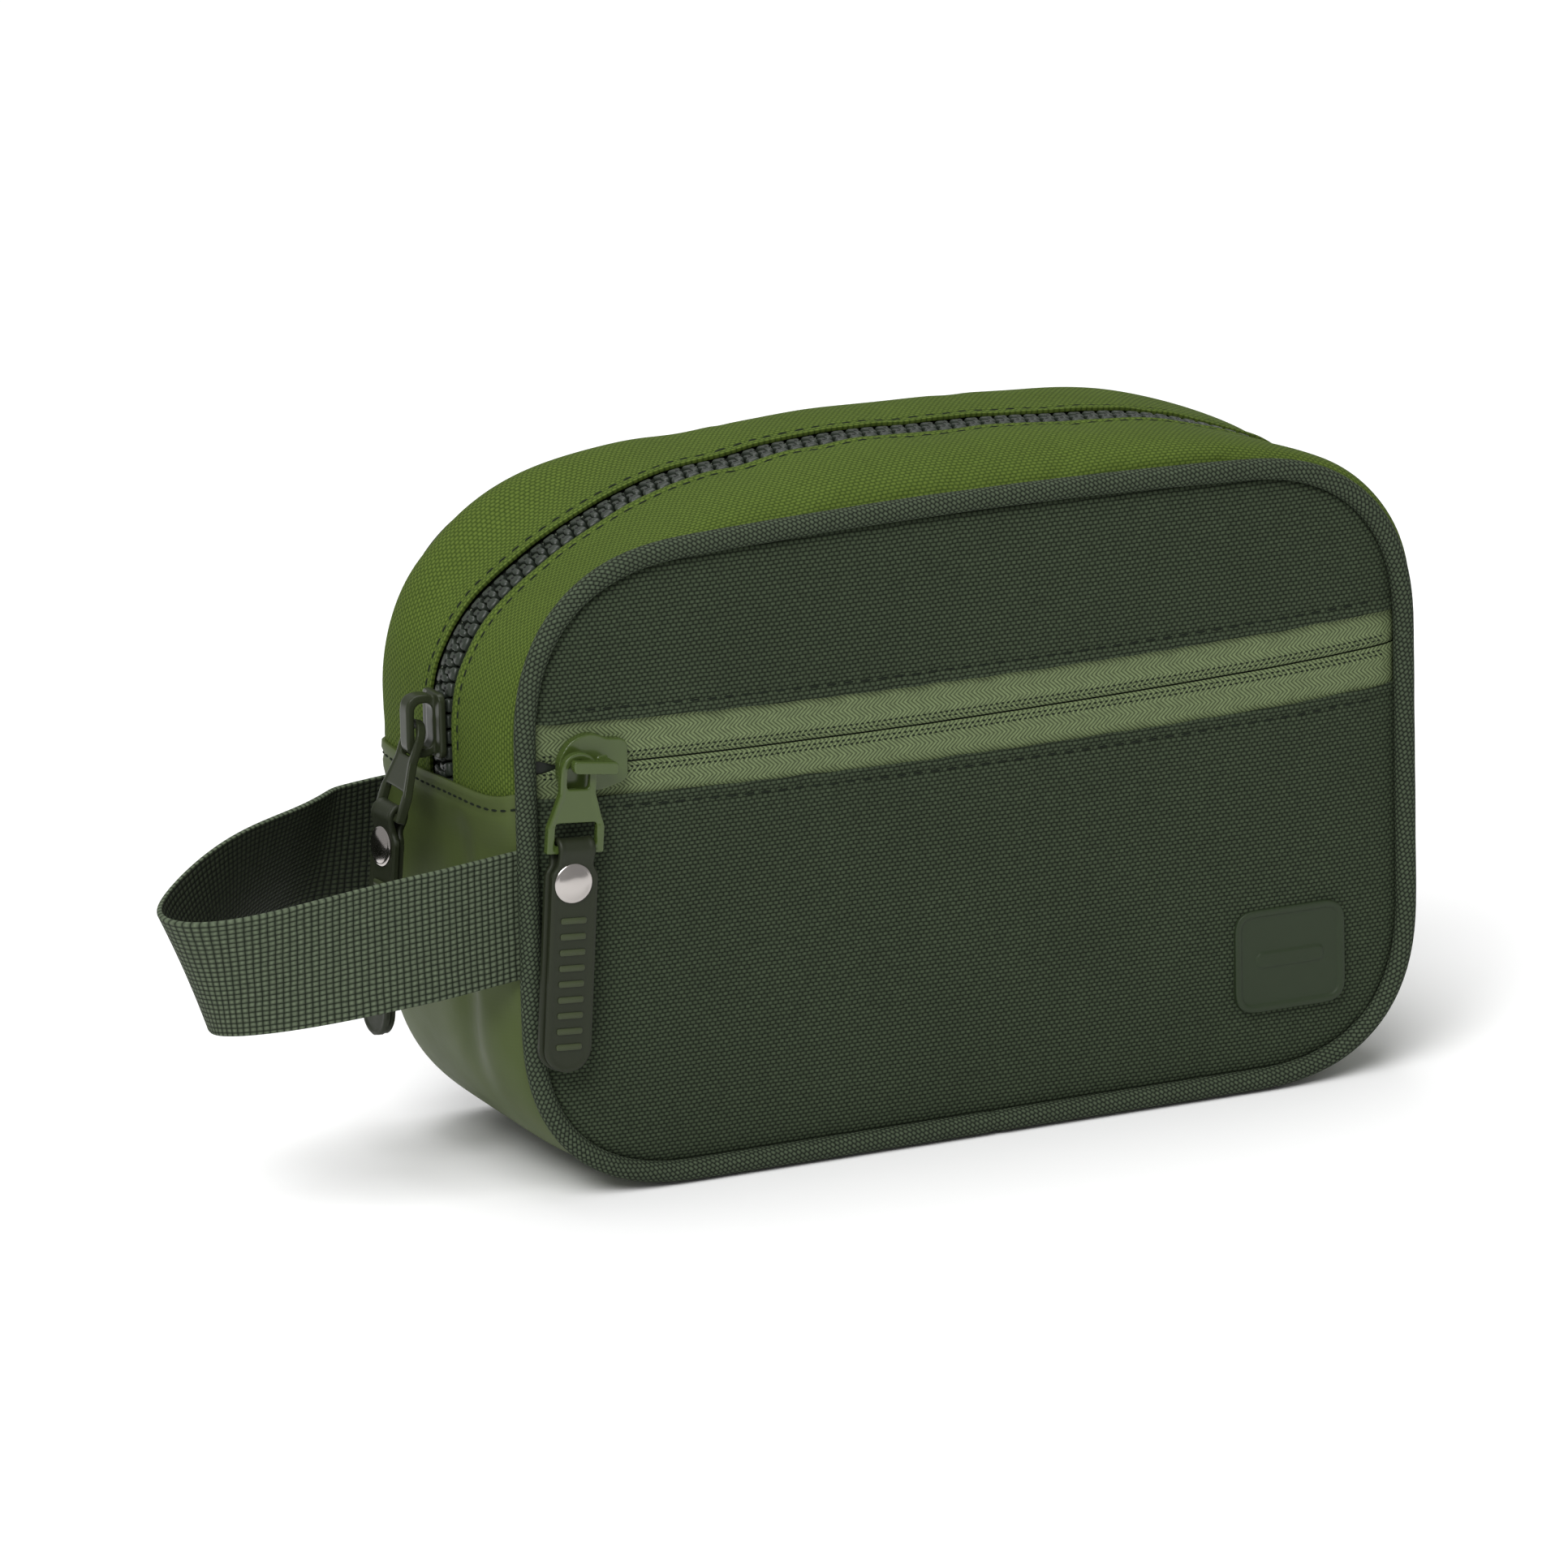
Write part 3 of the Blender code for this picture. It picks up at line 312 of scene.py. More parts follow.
def crown_line(height, upward, count):
    """The part of the crown line above, or below, a height on both sides."""
    halves = [even(side_line(half_crown(shoulder), height, upward), count)
              for shoulder in (LEFT_SHOULDER, RIGHT_SHOULDER)]
    line = both_sides(*halves)
    for size, middle, width in CROWN_WAVES:
        line[:, 1] += size * hump(line[:, 0], middle, width) * smooth((line[:, 1] - 140.0) / 15.0)
    return line


def fullness(share, side, line):
    """The gusset's rise from seam to crown, 0 to 1, at a share of the way from the zip to the seam."""
    power = np.interp(line[:, 0], FULLNESS_X, FULLNESS[side])[:, None]
    return np.clip(1 - share**power, 0, 1) ** (1 / power)


def outward(line, closed=False):
    """Unit vectors away from the bag's middle, one for each point of a line in XZ."""
    if closed:
        run = np.roll(line, -1, axis=0) - np.roll(line, 1, axis=0)
    else:
        run = np.gradient(line, axis=0)
    normal = to_the_left(run) / np.linalg.norm(run, axis=1)[:, None]
    away = np.sign(np.sum(normal * (line - BAG_MIDDLE[[0, 2]]), axis=1))
    return normal * away[:, None]


def bow(heights, x, half=112.0):
    """The height at x of the parabola through three heights at the left, the middle and the right."""
    left, middle, right = heights
    t = np.asarray(x) / half
    return middle + (right - left) / 2 * t + ((left + right) / 2 - middle) * t**2


def softened(values, rounds):
    """Values along a line with their bends rounded off and both ends kept."""
    values = values.copy()
    for _ in range(rounds):
        values[1:-1] = (values[:-2] + 2 * values[1:-1] + values[2:]) / 4
    return values


def smooth(t):
    """Eases from 0 to 1."""
    t = np.clip(t, 0, 1)
    return t * t * (3 - 2 * t)


def hump(x, middle, width):
    """A rounded rise to 1 in the middle."""
    return np.exp(-(((x - middle) / width) ** 2))


def ripple(x, y, z, size, seed=0.0):
    """Gentle noise between about -1 and 1 at each point."""
    x, y, z = np.broadcast_arrays(x, y, z)
    flat = [noise.noise(Vector((a / size + seed, b / size, c / size))) for a, b, c in
            zip(x.ravel(), y.ravel(), z.ravel())]
    return np.array(flat).reshape(x.shape)


# ---------------------------------------------------------------- materials


class Look:
    """A material's node tree, built with short calls. Lengths are in millimetres."""

    def __init__(self, name, roughness, metallic=0.0, shine=0.5):
        self.material = bpy.data.materials.new(name)
        self.material.use_nodes = True
        self.tree = self.material.node_tree
        self.surface = self.tree.nodes["Principled BSDF"]
        self.set("Roughness", roughness)
        self.set("Metallic", metallic)
        self.set("Specular IOR Level", shine)

    def put(self, socket, value):
        """Links a socket to another or gives it a number or a colour."""
        if isinstance(value, bpy.types.NodeSocket):
            self.tree.links.new(value, socket)
        else:
            socket.default_value = (*value, 1.0) if isinstance(value, tuple) else value

    def set(self, name, value):
        self.put(self.surface.inputs[name], value)

    def node(self, kind, inputs=(), **options):
        """A new node with its options set and its inputs filled, by name or number."""
        made = self.tree.nodes.new("ShaderNode" + kind)
        for option, value in options.items():
            setattr(made, option, value)
        for socket, value in dict(inputs).items():
            self.put(made.inputs[socket], value)
        return made

    def math(self, operation, *values):
        return self.node("Math", enumerate(values), operation=operation).outputs[0]

    def millimetres(self, source, axes):
        parts = self.node("SeparateXYZ", {0: source})
        return [self.math("MULTIPLY", parts.outputs[k], 1 / MM) for k in axes]

    def uv(self):
        """Along and across a sheet."""
        return self.millimetres(self.node("UVMap", uv_map="weave").outputs[0], (0, 1))

    def position(self):
        return self.node("TexCoord").outputs["Object"]

    def flat(self):
        """Along X and Z."""
        return self.millimetres(self.position(), (0, 2))

    def noise(self, size, detail=2.0):
        """Noise from 0 to 1 with features of this size."""
        inputs = {"Vector": self.position(), "Scale": 1 / (size * MM), "Detail": detail}
        return self.node("TexNoise", inputs).outputs[0]

    def shifted(self, value, size, amount):
        """A coordinate made uneven by noise, so that threads are not ruled lines."""
        return self.math("ADD", value, self.math("MULTIPLY", self.noise(size), amount))

    def spread(self, value, low, high):
        """Maps 0..1 to low..high."""
        return self.node("MapRange", {"Value": value, "To Min": low, "To Max": high}).outputs[0]

    def mix(self, factor, first, second, blend="MIX"):
        inputs = {0: factor, 6: first, 7: second}
        return self.node("Mix", inputs, data_type="RGBA", blend_type=blend).outputs[2]

    def shaded(self, colour, amount):
        """The colour multiplied by a value."""
        return self.mix(1.0, colour, amount, "MULTIPLY")

    def bump(self, height, depth, strength=1.0):
        inputs = {"Strength": strength, "Distance": depth * MM, "Height": height}
        self.set("Normal", self.node("Bump", inputs).outputs[0])

    def wave(self, value, pitch):
        """A rounded wave from 0 to 1 with this pitch."""
        return self.math("ABSOLUTE", self.math("SINE", self.math("MULTIPLY", value, math.pi / pitch)))

    def basket(self, u, v, pitch_u, pitch_v, step):
        """Rows of short raised threads, each row moved along by this share of a thread from the last."""
        row = self.math("FLOOR", self.math("DIVIDE", v, pitch_v))
        across = self.math("ADD", u, self.math("MULTIPLY", row, pitch_u * step))
        return self.math("MULTIPLY", self.wave(across, pitch_u), self.wave(v, pitch_v))


def weave_look(name, dark, light, pitch, uv=False, bias=False, step=0.5, depth=0.14, roughness=0.85,
               mottle=0.12, uneven=(0.55, 1.45)):
    """Woven cloth: raised threads are light and uneven, and the gaps between them are dark with painted
    shade.
    """
    look = Look(name, roughness, shine=0.1)
    u, v = look.uv() if uv else look.flat()
    if bias:
        turned = (look.math("ADD", u, v), look.math("SUBTRACT", v, u))
        u, v = (look.math("MULTIPLY", value, math.sqrt(0.5)) for value in turned)
    height = look.basket(look.shifted(u, 6.0, 0.5), look.shifted(v, 7.0, 0.5), *pitch, step)
    # The colour follows the thread height: painted shade in the gaps between threads.
    colour = look.mix(look.math("POWER", height, 0.75), dark, light)
    large = look.spread(look.noise(28.0), 1 - mottle, 1 + mottle)
    small = look.spread(look.noise(0.9, 3.0), *uneven)
    look.set("Base Color", look.shaded(look.shaded(colour, large), small))
    look.bump(look.math("POWER", height, 0.6), depth)
    return look.material


def herringbone_look(name, dark, light, pitch, row):
    """Fine slanted threads that turn back at each row, with painted shade between the threads."""
    look = Look(name, 0.7, shine=0.15)
    u, v = look.flat()
    zig = look.math("MULTIPLY", look.math("PINGPONG", v, row), 1.1)
    thread = look.wave(look.shifted(look.math("ADD", u, zig), 6.0, 0.4), pitch)
    small = look.spread(look.noise(0.9, 3.0), 0.65, 1.35)
    look.set("Base Color", look.shaded(look.mix(thread, dark, light), small))
    look.bump(thread, 0.1)
    return look.material


def coated_look(name, light, dark):
    """Satin coated cloth: the base weave only just shows through the film, as a slight painted shade between
    its ribs.
    """
    look = Look(name, 0.55, shine=0.25)
    ribs, cross = (look.wave(value, 0.9) for value in look.uv())
    film = look.math("MULTIPLY", look.spread(ribs, 0.6, 1.0), look.spread(cross, 0.8, 1.0))
    colour = look.mix(look.noise(22.0, 3.0), dark, light)
    look.set("Base Color", look.shaded(colour, look.spread(film, 0.94, 1.04)))
    look.set("Roughness", look.spread(look.noise(9.0), 0.5, 0.62))
    look.bump(film, 0.02, 0.6)
    return look.material


def smooth_look(name, colour, roughness, metallic=0.0, grain=0.01, size=0.8, coat=0.0, wear=0.06, shine=0.3):
    """Moulded, cast or polished: a little mottling, fine grain and uneven gloss."""
    look = Look(name, roughness, metallic, shine)
    look.set("Base Color", look.shaded(colour, look.spread(look.noise(4.0, 3.0), 1 - wear, 1 + wear)))
    look.set("Roughness", look.spread(look.noise(2.0), roughness * 0.85, roughness * 1.15))
    look.bump(look.noise(size, 3.0), grain, 0.7)
    look.set("Coat Weight", coat)
    look.set("Coat Roughness", 0.12)
    return look.material


RIBBED = {"pitch": (1.75, 1.3), "uv": True, "step": 0.0, "depth": 0.3, "roughness": 0.75, "mottle": 0.06}
LOOKS = {
    "front": weave_look("front_weave", (0.005, 0.007, 0.004), (0.049, 0.066, 0.038), (1.45, 1.0)),
    "gusset": weave_look("gusset_weave", (0.026, 0.046, 0.006), (0.086, 0.124, 0.021), (1.5, 1.0), uv=True,
                         depth=0.1, uneven=(0.7, 1.3)),
    "coated": coated_look("coated_gusset", (0.061, 0.085, 0.020), (0.041, 0.058, 0.014)),
    "piping": weave_look("piping_weave", (0.004, 0.005, 0.004), (0.066, 0.086, 0.053), (1.35, 1.0), uv=True,
                         bias=True),
    "tape": herringbone_look("pocket_tape", (0.028, 0.039, 0.016), (0.148, 0.188, 0.090), 1.15, 2.2),
    "coil": smooth_look("coil", (0.010, 0.014, 0.009), 0.45),
    "main_tape": weave_look("main_tape", (0.003, 0.004, 0.003), (0.024, 0.029, 0.022), (0.8, 0.6), uv=True),
    "teeth": smooth_look("moulded_teeth", (0.021, 0.027, 0.020), 0.36, grain=0.01, shine=0.3),
    # Painted shade for the recesses in the teeth.
    "recess_painted_shade": smooth_look("tooth_recess_painted_shade", (0.004, 0.005, 0.004), 0.8),
    "stitch_dark": smooth_look("dark_thread", (0.010, 0.014, 0.009), 0.8, grain=0.05, size=0.4, shine=0.1),
    "stitch_pale": smooth_look("pale_thread", (0.13, 0.15, 0.11), 0.8, grain=0.05, size=0.4, shine=0.1),
    "webbing": weave_look("ribbed_webbing", (0.005, 0.008, 0.004), (0.098, 0.122, 0.078), **RIBBED),
    # The handle's inner side: the webbing's colours darkened as painted shade.
    "webbing_inner_painted_shade": weave_look("webbing_inner_painted_shade", (0.003, 0.004, 0.003), (0.031, 0.039, 0.023), **RIBBED),
    "rubber": smooth_look("soft_rubber", (0.014, 0.018, 0.008), 0.5, grain=0.02, shine=0.25),
    "grip": smooth_look("grip_rubber", (0.036, 0.046, 0.020), 0.45, grain=0.02, shine=0.25),
    "badge": smooth_look("badge_rubber", (0.018, 0.028, 0.012), 0.5, grain=0.02, shine=0.25),
    "pocket_metal": smooth_look("olive_enamel", (0.046, 0.071, 0.015), 0.25, grain=0.004, coat=0.3),
    "main_metal": smooth_look("dark_enamel", (0.021, 0.026, 0.013), 0.32, grain=0.004, coat=0.06, shine=0.14),
    "nickel": smooth_look("polished_nickel", (0.46, 0.43, 0.41), 0.2, metallic=1.0, grain=0.001, wear=0.03),
    "lining": weave_look("lining_cloth", (0.012, 0.014, 0.012), (0.045, 0.050, 0.045), (0.7, 0.7),
                         depth=0.06),
    "foam": smooth_look("foam", (0.45, 0.45, 0.42), 0.95, grain=0.2, size=1.2),
    "binding": weave_look("seam_binding", (0.006, 0.007, 0.006), (0.026, 0.028, 0.025), (0.9, 0.7)),
    "cord": smooth_look("piping_cord", (0.55, 0.55, 0.50), 0.8, grain=0.15, size=0.9),
}
HIDDEN_LOOKS = {
    "pocket_backing": "lining", "front_padding": "foam", "rear_padding": "foam", "front_lining": "lining",
    "rear_lining": "lining", "gusset_lining": "lining", "seam_binding_front": "binding",
    "seam_binding_rear": "binding",
}


# ---------------------------------------------------------------- objects


def linked(name, data):
    """A new object in the scene."""
    made = bpy.data.objects.new(name, data)
    bpy.context.scene.collection.objects.link(made)
    return made


def applied(source):
    """The mesh of an object with its modifiers applied. The object is removed."""
    graph = bpy.context.evaluated_depsgraph_get()
    mesh = bpy.data.meshes.new_from_object(source.evaluated_get(graph))
    bpy.data.objects.remove(source)
    return mesh


def new_object(name, points, faces, look):
    """An object whose mesh is given in millimetres."""
    mesh = bpy.data.meshes.new(name)
    mesh.from_pydata([tuple(p * MM) for p in np.asarray(points, float)], [], [tuple(f) for f in faces])
    mesh.materials.append(LOOKS[look])
    mesh.shade_smooth()
    return linked(name, mesh)


def finished(piece, body, slot, *nodes):
    """Puts a piece on its body and hides the plain nodes that it stands for."""
    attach(piece, body)
    if nodes:
        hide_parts(*nodes)
    return piece


def sheet(name, grid, look, closed=False, tube=False, thick=0.0, bevel=0.0, middle=None, inner=None):
    """A sheet through a grid of points, rows by columns, that faces away from the bag's middle.

    closed joins the last row to the first, and tube the last column to the first. inner is the
    look of a thick sheet's other side.
    """
    rows, columns = grid.shape[:2]
    i, j = np.meshgrid(np.arange(rows if closed else rows - 1), np.arange(columns if tube else columns - 1),
                       indexing="ij")
    i, j = i.ravel(), j.ravel()
    after, beside = (i + 1) % rows, (j + 1) % columns
    faces = np.column_stack((i * columns + j, after * columns + j, after * columns + beside,
                             i * columns + beside))
    u = lengths_along(grid[:, columns // 2], closed)
    v = lengths_along(grid[rows // 2], tube)
    corners = ((i, j), (i + 1, j), (i + 1, j + 1), (i, j + 1))
    uv = np.stack([np.column_stack((u[a], v[b])) for a, b in corners], 1)
    at = grid[rows // 2, columns // 2]
    normal = np.cross(grid[rows // 2 + 1, columns // 2] - at, grid[rows // 2, columns // 2 + 1] - at)
    if np.dot(normal, at - (BAG_MIDDLE if middle is None else middle)) < 0:
        faces, uv = faces[:, ::-1], uv[:, ::-1]
    made = new_object(name, grid.reshape(-1, 3), faces, look)
    layer = made.data.uv_layers.new(name="weave")
    layer.data.foreach_set("uv", (uv * MM).astype(np.float32).ravel())
    if thick:
        solid = made.modifiers.new("thickness", "SOLIDIFY")
        solid.thickness = thick * MM
        solid.offset = -1.0
        if inner:
            made.data.materials.append(LOOKS[inner])
            solid.material_offset = 1
    if bevel:
        edge = made.modifiers.new("soft_edge", "BEVEL")
        edge.width = bevel * MM
        edge.segments = 2
        edge.limit_method = "ANGLE"
        edge.angle_limit = math.radians(60)
    return made


def inflated(grid, slack):
    """How far the stuffing moves each point of a sheet sewn down along its border, by cloth simulation."""
    sewn = sheet("sewn", grid, "front")
    held = np.zeros(grid.shape[:2], bool)
    held[[0, -1], :] = True
    held[:, [0, -1]] = True
    group = sewn.vertex_groups.new(name="sewn")
    group.add([int(k) for k in np.flatnonzero(held.ravel())], 1.0, "REPLACE")
    cloth = sewn.modifiers.new("cloth", "CLOTH")
    cloth.settings.vertex_group_mass = "sewn"
    cloth.settings.use_pressure = True
    cloth.settings.uniform_pressure_force = CLOTH_PRESSURE
    cloth.settings.shrink_min = -slack
    cloth.settings.effector_weights.gravity = 0
    for number in range(1, CLOTH_FRAMES + 1):
        bpy.context.scene.frame_set(number)
    graph = bpy.context.evaluated_depsgraph_get()
    moved = np.array([v.co for v in sewn.evaluated_get(graph).data.vertices]) / MM
    bpy.data.objects.remove(sewn)
    bpy.context.scene.frame_set(1)
    return moved.reshape(grid.shape) - grid


def patch(bottom, top, left, right, low_dense=1.0):
    """A grid between four edges that meet at their corners, rows from bottom to top (a Coons patch).

    Above 1, low_dense puts more of the rows near the bottom.
    """
    columns, rows = len(bottom), len(left)
    u = np.linspace(0, 1, columns)[None, :, None]
    v = (np.linspace(0, 1, rows) ** low_dense)[:, None, None]
    fraction = np.linspace(0, 1, rows)
    left, right = (sampled(v.ravel(), fraction, edge) for edge in (left, right))
    ruled = (1 - v) * bottom[None] + v * top[None] + (1 - u) * left[:, None] + u * right[:, None]
    flat = ((1 - u) * (1 - v) * bottom[0] + u * (1 - v) * bottom[-1] + (1 - u) * v * top[0]
            + u * v * top[-1])
    return ruled - flat


def outline_sides(inset):
    """The seam loop's four sides between the corners' middles: bottom, top, left and right."""
    loop = seam_loop(inset)
    half = CORNER_POINTS // 2
    ends = [half]
    ends.append(ends[0] + CORNER_POINTS + 1 + TOP_POINTS)
    ends += [ends[1] + CORNER_POINTS + 1, ends[1] + 2 * (CORNER_POINTS + 1)]
    top = loop[ends[0]:ends[1] + 1][::-1]
    left = loop[ends[1]:ends[2] + 1][::-1]
    bottom = loop[ends[2]:ends[3] + 1]
    right = np.vstack((loop[ends[3]:], loop[:ends[0] + 1]))
    return bottom, top, left, right


def in_depth(flat, y):
    """A flat XZ grid given a Y, a number or an array."""
    return np.stack((flat[..., 0], np.broadcast_to(y, flat.shape[:2]), flat[..., 1]), axis=-1)


def stood_off(line, out, lift):
    """The two coordinates of a flat line's points, each moved along its own normal by a row of lifts."""
    return line[:, None, 0] + out[:, None, 0] * lift, line[:, None, 1] + out[:, None, 1] * lift


def lift_rows(grid, out, lift):
    """Moves the rows of a grid, each along its own normal in XZ."""
    grid[..., 0] += out[:, None, 0] * lift
    grid[..., 2] += out[:, None, 1] * lift


def closed_up(piece, ends=(), sharp=0):
    """Caps open ends, turns every face outwards and keeps edges steeper than sharp degrees crisp."""
    shape = bmesh.new()
    shape.from_mesh(piece.data)
    shape.verts.ensure_lookup_table()
    for end in ends:
        shape.faces.new([shape.verts[k] for k in end])
    bmesh.ops.recalc_face_normals(shape, faces=shape.faces)
    shape.to_mesh(piece.data)
    shape.free()
    if sharp:
        piece.data.set_sharp_from_angle(angle=math.radians(sharp))


class Face:
    """The padded front or rear: how far its fabric stands out at any place."""

    def __init__(self, side, seed):
        self.side = side
        bottom, top, left, right = outline_sides(PANEL_INSET + SEAM_DRAW[side])
        wide, high = FACE_CELLS
        flat = patch(even(bottom, wide), even(top, wide), even(left, high), even(right, high))
        grid = in_depth(flat, side * PANEL_EDGE_Y)
        push = inflated(grid, 0.002)[..., 1] * side
        rise = PANEL_RISE * np.clip(push / push.max(), 0, 1) ** PANEL_POWER
        rise += 0.35 * ripple(flat[..., 0], seed, flat[..., 1], 34.0, seed) * smooth(rise / 2)
        grid[..., 1] += side * rise
        step = wide + 1
        cells = [(k, k + 1, k + 1 + step, k + step) for row in range(high)
                 for k in range(row * step, row * step + wide)]
        self.tree = BVHTree.FromPolygons([tuple(p) for p in grid.reshape(-1, 3)], cells)

    def y(self, x, z):
        """The fabric's Y at each x and z."""
        found = np.full(np.shape(x), self.side * PANEL_EDGE_Y)
        for index in np.ndindex(np.shape(x)):
            start = Vector((x[index], self.side * 100.0, z[index]))
            hit = self.tree.ray_cast(start, Vector((0.0, -self.side, 0.0)))[0]
            if hit is not None:
                found[index] = hit[1]
        return found


def side_part(line, height, above):
    """The part of an upright side above or below a height, from that height on."""
    order = np.argsort(line[:, 1])
    x = float(np.interp(height, line[order, 1], line[order, 0]))
    rest = line[line[:, 1] > height] if above else line[line[:, 1] < height][::-1]
    return np.vstack(([(x, height)], rest))


def panel_half(name, face, upper):
    """The front panel above or below the pocket zip, with a folded, stitched and puckered edge."""
    bottom, top, left, right = outline_sides(PANEL_INSET)
    fold, far, rows, wave_seed, pucker_seed = (
        (FOLD_HIGH, top, 46, 13.0, 3.0) if upper else (FOLD_LOW, bottom, 66, 17.0, 7.0))
    left = side_part(left, bow(fold, left[:, 0].min()), upper)
    right = side_part(right, bow(fold, right[:, 0].max()), upper)
    edge_x = np.linspace(left[0, 0], right[0, 0], 131)
    edge = np.column_stack((edge_x, bow(fold, edge_x)))
    flat = patch(edge, even(far, 130), even(left, rows), even(right, rows), 1.5)
    x, z = flat[..., 0], flat[..., 1]
    away = np.abs(z - bow(fold, x))
    z += 0.3 * ripple(x, 0, 0, 8.0, wave_seed) * np.exp(-away / 4.0)
    pucker = ripple(x, 0, 0, 6.0, pucker_seed) * np.exp(-away / 6.0)
    stand = PUCKER * pucker - 0.3 * hump(away, HEM_STITCH, 0.8) + 0.25 * hump(away, 1.2, 1.2)
    y = face.y(x, z) - stand
    made = sheet(name, in_depth(flat, y), "front", thick=PANEL_THICK, bevel=0.3)
    return finished(made, "bag", "front_weave", name)


def rear_panel(face):
    bottom, top, left, right = outline_sides(PANEL_INSET + SEAM_DRAW[1])
    flat = patch(even(bottom, 110), even(top, 110), even(left, 76), even(right, 76))
    y = face.y(flat[..., 0], flat[..., 1])
    made = sheet("rear_face", in_depth(flat, y), "front", thick=PANEL_THICK)
    finished(made, "bag", "front_weave", "rear_panel")


def prism_faces(rings, count):
    """Faces of a closed solid through rings of this many points each, with both ends capped."""
    faces = [(r * count + k, r * count + (k + 1) % count, (r + 1) * count + (k + 1) % count,
              (r + 1) * count + k) for r in range(rings - 1) for k in range(count)]
    return faces + [tuple(range(count))[::-1], tuple((rings - 1) * count + k for k in range(count))]


def tube_strand(centres, ups, radii, sides=6):
    """Points and faces of a closed tapered strand along a line."""
    run = tangents(centres)
    across = np.cross(run, ups)
    across /= np.linalg.norm(across, axis=1)[:, None]
    up = np.cross(across, run)
    angles = np.linspace(0, 2 * math.pi, sides, endpoint=False)
    ring = (across[:, None] * np.cos(angles)[None, :, None] + up[:, None] * np.sin(angles)[None, :, None])
    points = centres[:, None] + ring * np.asarray(radii)[:, None, None]
    return points.reshape(-1, 3), prism_faces(len(centres), sides)


class Gathered:
    """Many small closed shapes that become one object."""

    def __init__(self):
        self.points = []
        self.faces = []

    def add(self, points, faces):
        first = len(self.points)
        self.points += [tuple(p) for p in points]
        self.faces += [tuple(first + k for k in face) for face in faces]

    def make(self, name, look):
        return new_object(name, np.array(self.points), self.faces, look)


def stitches(name, lines, skin, look, size=STITCH, slot="coil"):
    """Rows of stitches laid on an object, from pairs of points outside it and rays towards it."""
    tree = BVHTree.FromObject(skin, bpy.context.evaluated_depsgraph_get())
    length, gap, radius = size
    gathered = Gathered()
    for starts, rays in lines:
        travelled = lengths_along(starts)
        for number in range(int(travelled[-1] / (length + gap))):
            wanted = number * (length + gap) + gap / 2 + np.linspace(0, length, 5)
            at, ray = (sampled(wanted, travelled, values) for values in (starts, rays))
            hits = [tree.ray_cast(Vector(p * MM), Vector(r)) for p, r in zip(at, ray)]
            if any(hit[0] is None for hit in hits):
                continue
            centres = np.array([hit[0] for hit in hits]) / MM
            ups = -ray / np.linalg.norm(ray, axis=1)[:, None]
            centres += ups * (radius * np.array(STITCH_LIFT))[:, None]
            gathered.add(*tube_strand(centres, ups, radius * np.array(STITCH_TAPER)))
    finished(gathered.make(name, look), "bag", slot)


def front_line(heights, offset, x_low, x_high, count=90):
    """A line in front of the bag at a height that follows the pocket zip, and rays towards the bag."""
    x = np.linspace(x_low, x_high, count)
    starts = np.column_stack((x, np.full(count, -60.0), bow(heights, x) + offset))
    return starts, np.tile((0.0, 1.0, 0.0), (count, 1))


def pocket_zip(face):
    """Two herringbone tapes that meet at a thin dark line, with the coil showing where they part."""
    x = np.linspace(-TAPE_HALF_LENGTH, TAPE_HALF_LENGTH, 151)
    mouth = 1.5 * smooth((-107.5 - x) / 7.0)
    split = bow(SPLIT, x)
    for name, fold, way in (("upper", bow(FOLD_HIGH, x), 1), ("lower", bow(FOLD_LOW, x), -1)):
        inner = split + way * (SPLIT_GAP + mouth)
        outer = fold + way * TAPE_OVERLAP
        z = inner[:, None] + (outer - inner)[:, None] * np.linspace(0, 1, 20)
        across = np.broadcast_to(x[:, None], z.shape)
        y = face.y(across, z) + TAPE_SINK
        y += 0.25 * hump(z, inner[:, None], 0.6) - 0.15 * hump(np.abs(z - split[:, None]), 3.2, 1.0)
        y += 0.12 * ripple(across, 0, z, 12.0, 11.0)
        tape = sheet(f"pocket_tape_{name}", np.stack((across, y, z), -1), "tape", thick=0.5)
        finished(tape, "bag", "pocket_tape", f"pocket_zip_tape_{name}")
        rows = [front_line(SPLIT, way * row, -98.0 + 2.0 * row, 112.5) for row in TAPE_STITCH_ROWS]
        rows += [front_line(SPLIT, way * (row + 0.4), -113.0, -109.0, 6) for row in TAPE_STITCH_ROWS]
        stitches(f"pocket_tape_stitching_{name}", rows, tape, "stitch_dark", TAPE_STITCH)
    z = split[:, None] + np.linspace(-3.0, 3.0, 9)
    across = np.broadcast_to(x[:, None], z.shape)
    y = face.y(across, z) + TAPE_SINK + 1.0
    coil = sheet("pocket_coil", np.stack((across, y, z), -1), "coil", thick=1.0)
    finished(coil, "bag", "coil", "pocket_zip_coil_upper", "pocket_zip_coil_lower")


def piping(name, side):
    """A cord covered in bias-cut cloth, closed round the panel, with a butt joint under the bag's middle."""
    loop = even(seam_loop(SEAM_DRAW[side]), 460, closed=True)
    out = outward(loop, closed=True)
    angles = np.linspace(0, 2 * math.pi, 20, endpoint=False)
    joint = np.abs(loop[:, 0] - 3.5) + 1e3 * (loop[:, 1] > SEAM_BOTTOM + 1)
    radius = PIPING_RADIUS * (1 + 0.02 * ripple(loop[:, 0], side, loop[:, 1], 11.0))
    radius -= 0.45 * np.exp(-((joint / 0.8) ** 2))
    x, z = stood_off(loop, out, radius[:, None] * np.cos(angles))
    y = side * HALF_DEPTH + radius[:, None] * np.sin(angles)
    grid = np.stack((x, y, np.maximum(z, 0.02)), axis=-1)
    middle = in_depth(loop[:, None], side * HALF_DEPTH)
    core = middle + (grid - middle) * CORD_SHARE
    for part, shape, look, slot, node in (("piping", grid, "piping", "piping_weave", "piping_cover"),
                                          ("piping_core", core, "cord", "cord", "piping_cord")):
        made = sheet(f"{part}_{name}", shape, look, closed=True, tube=True)
        closed_up(made)
        finished(made, "bag", slot, f"{node}_{name}")


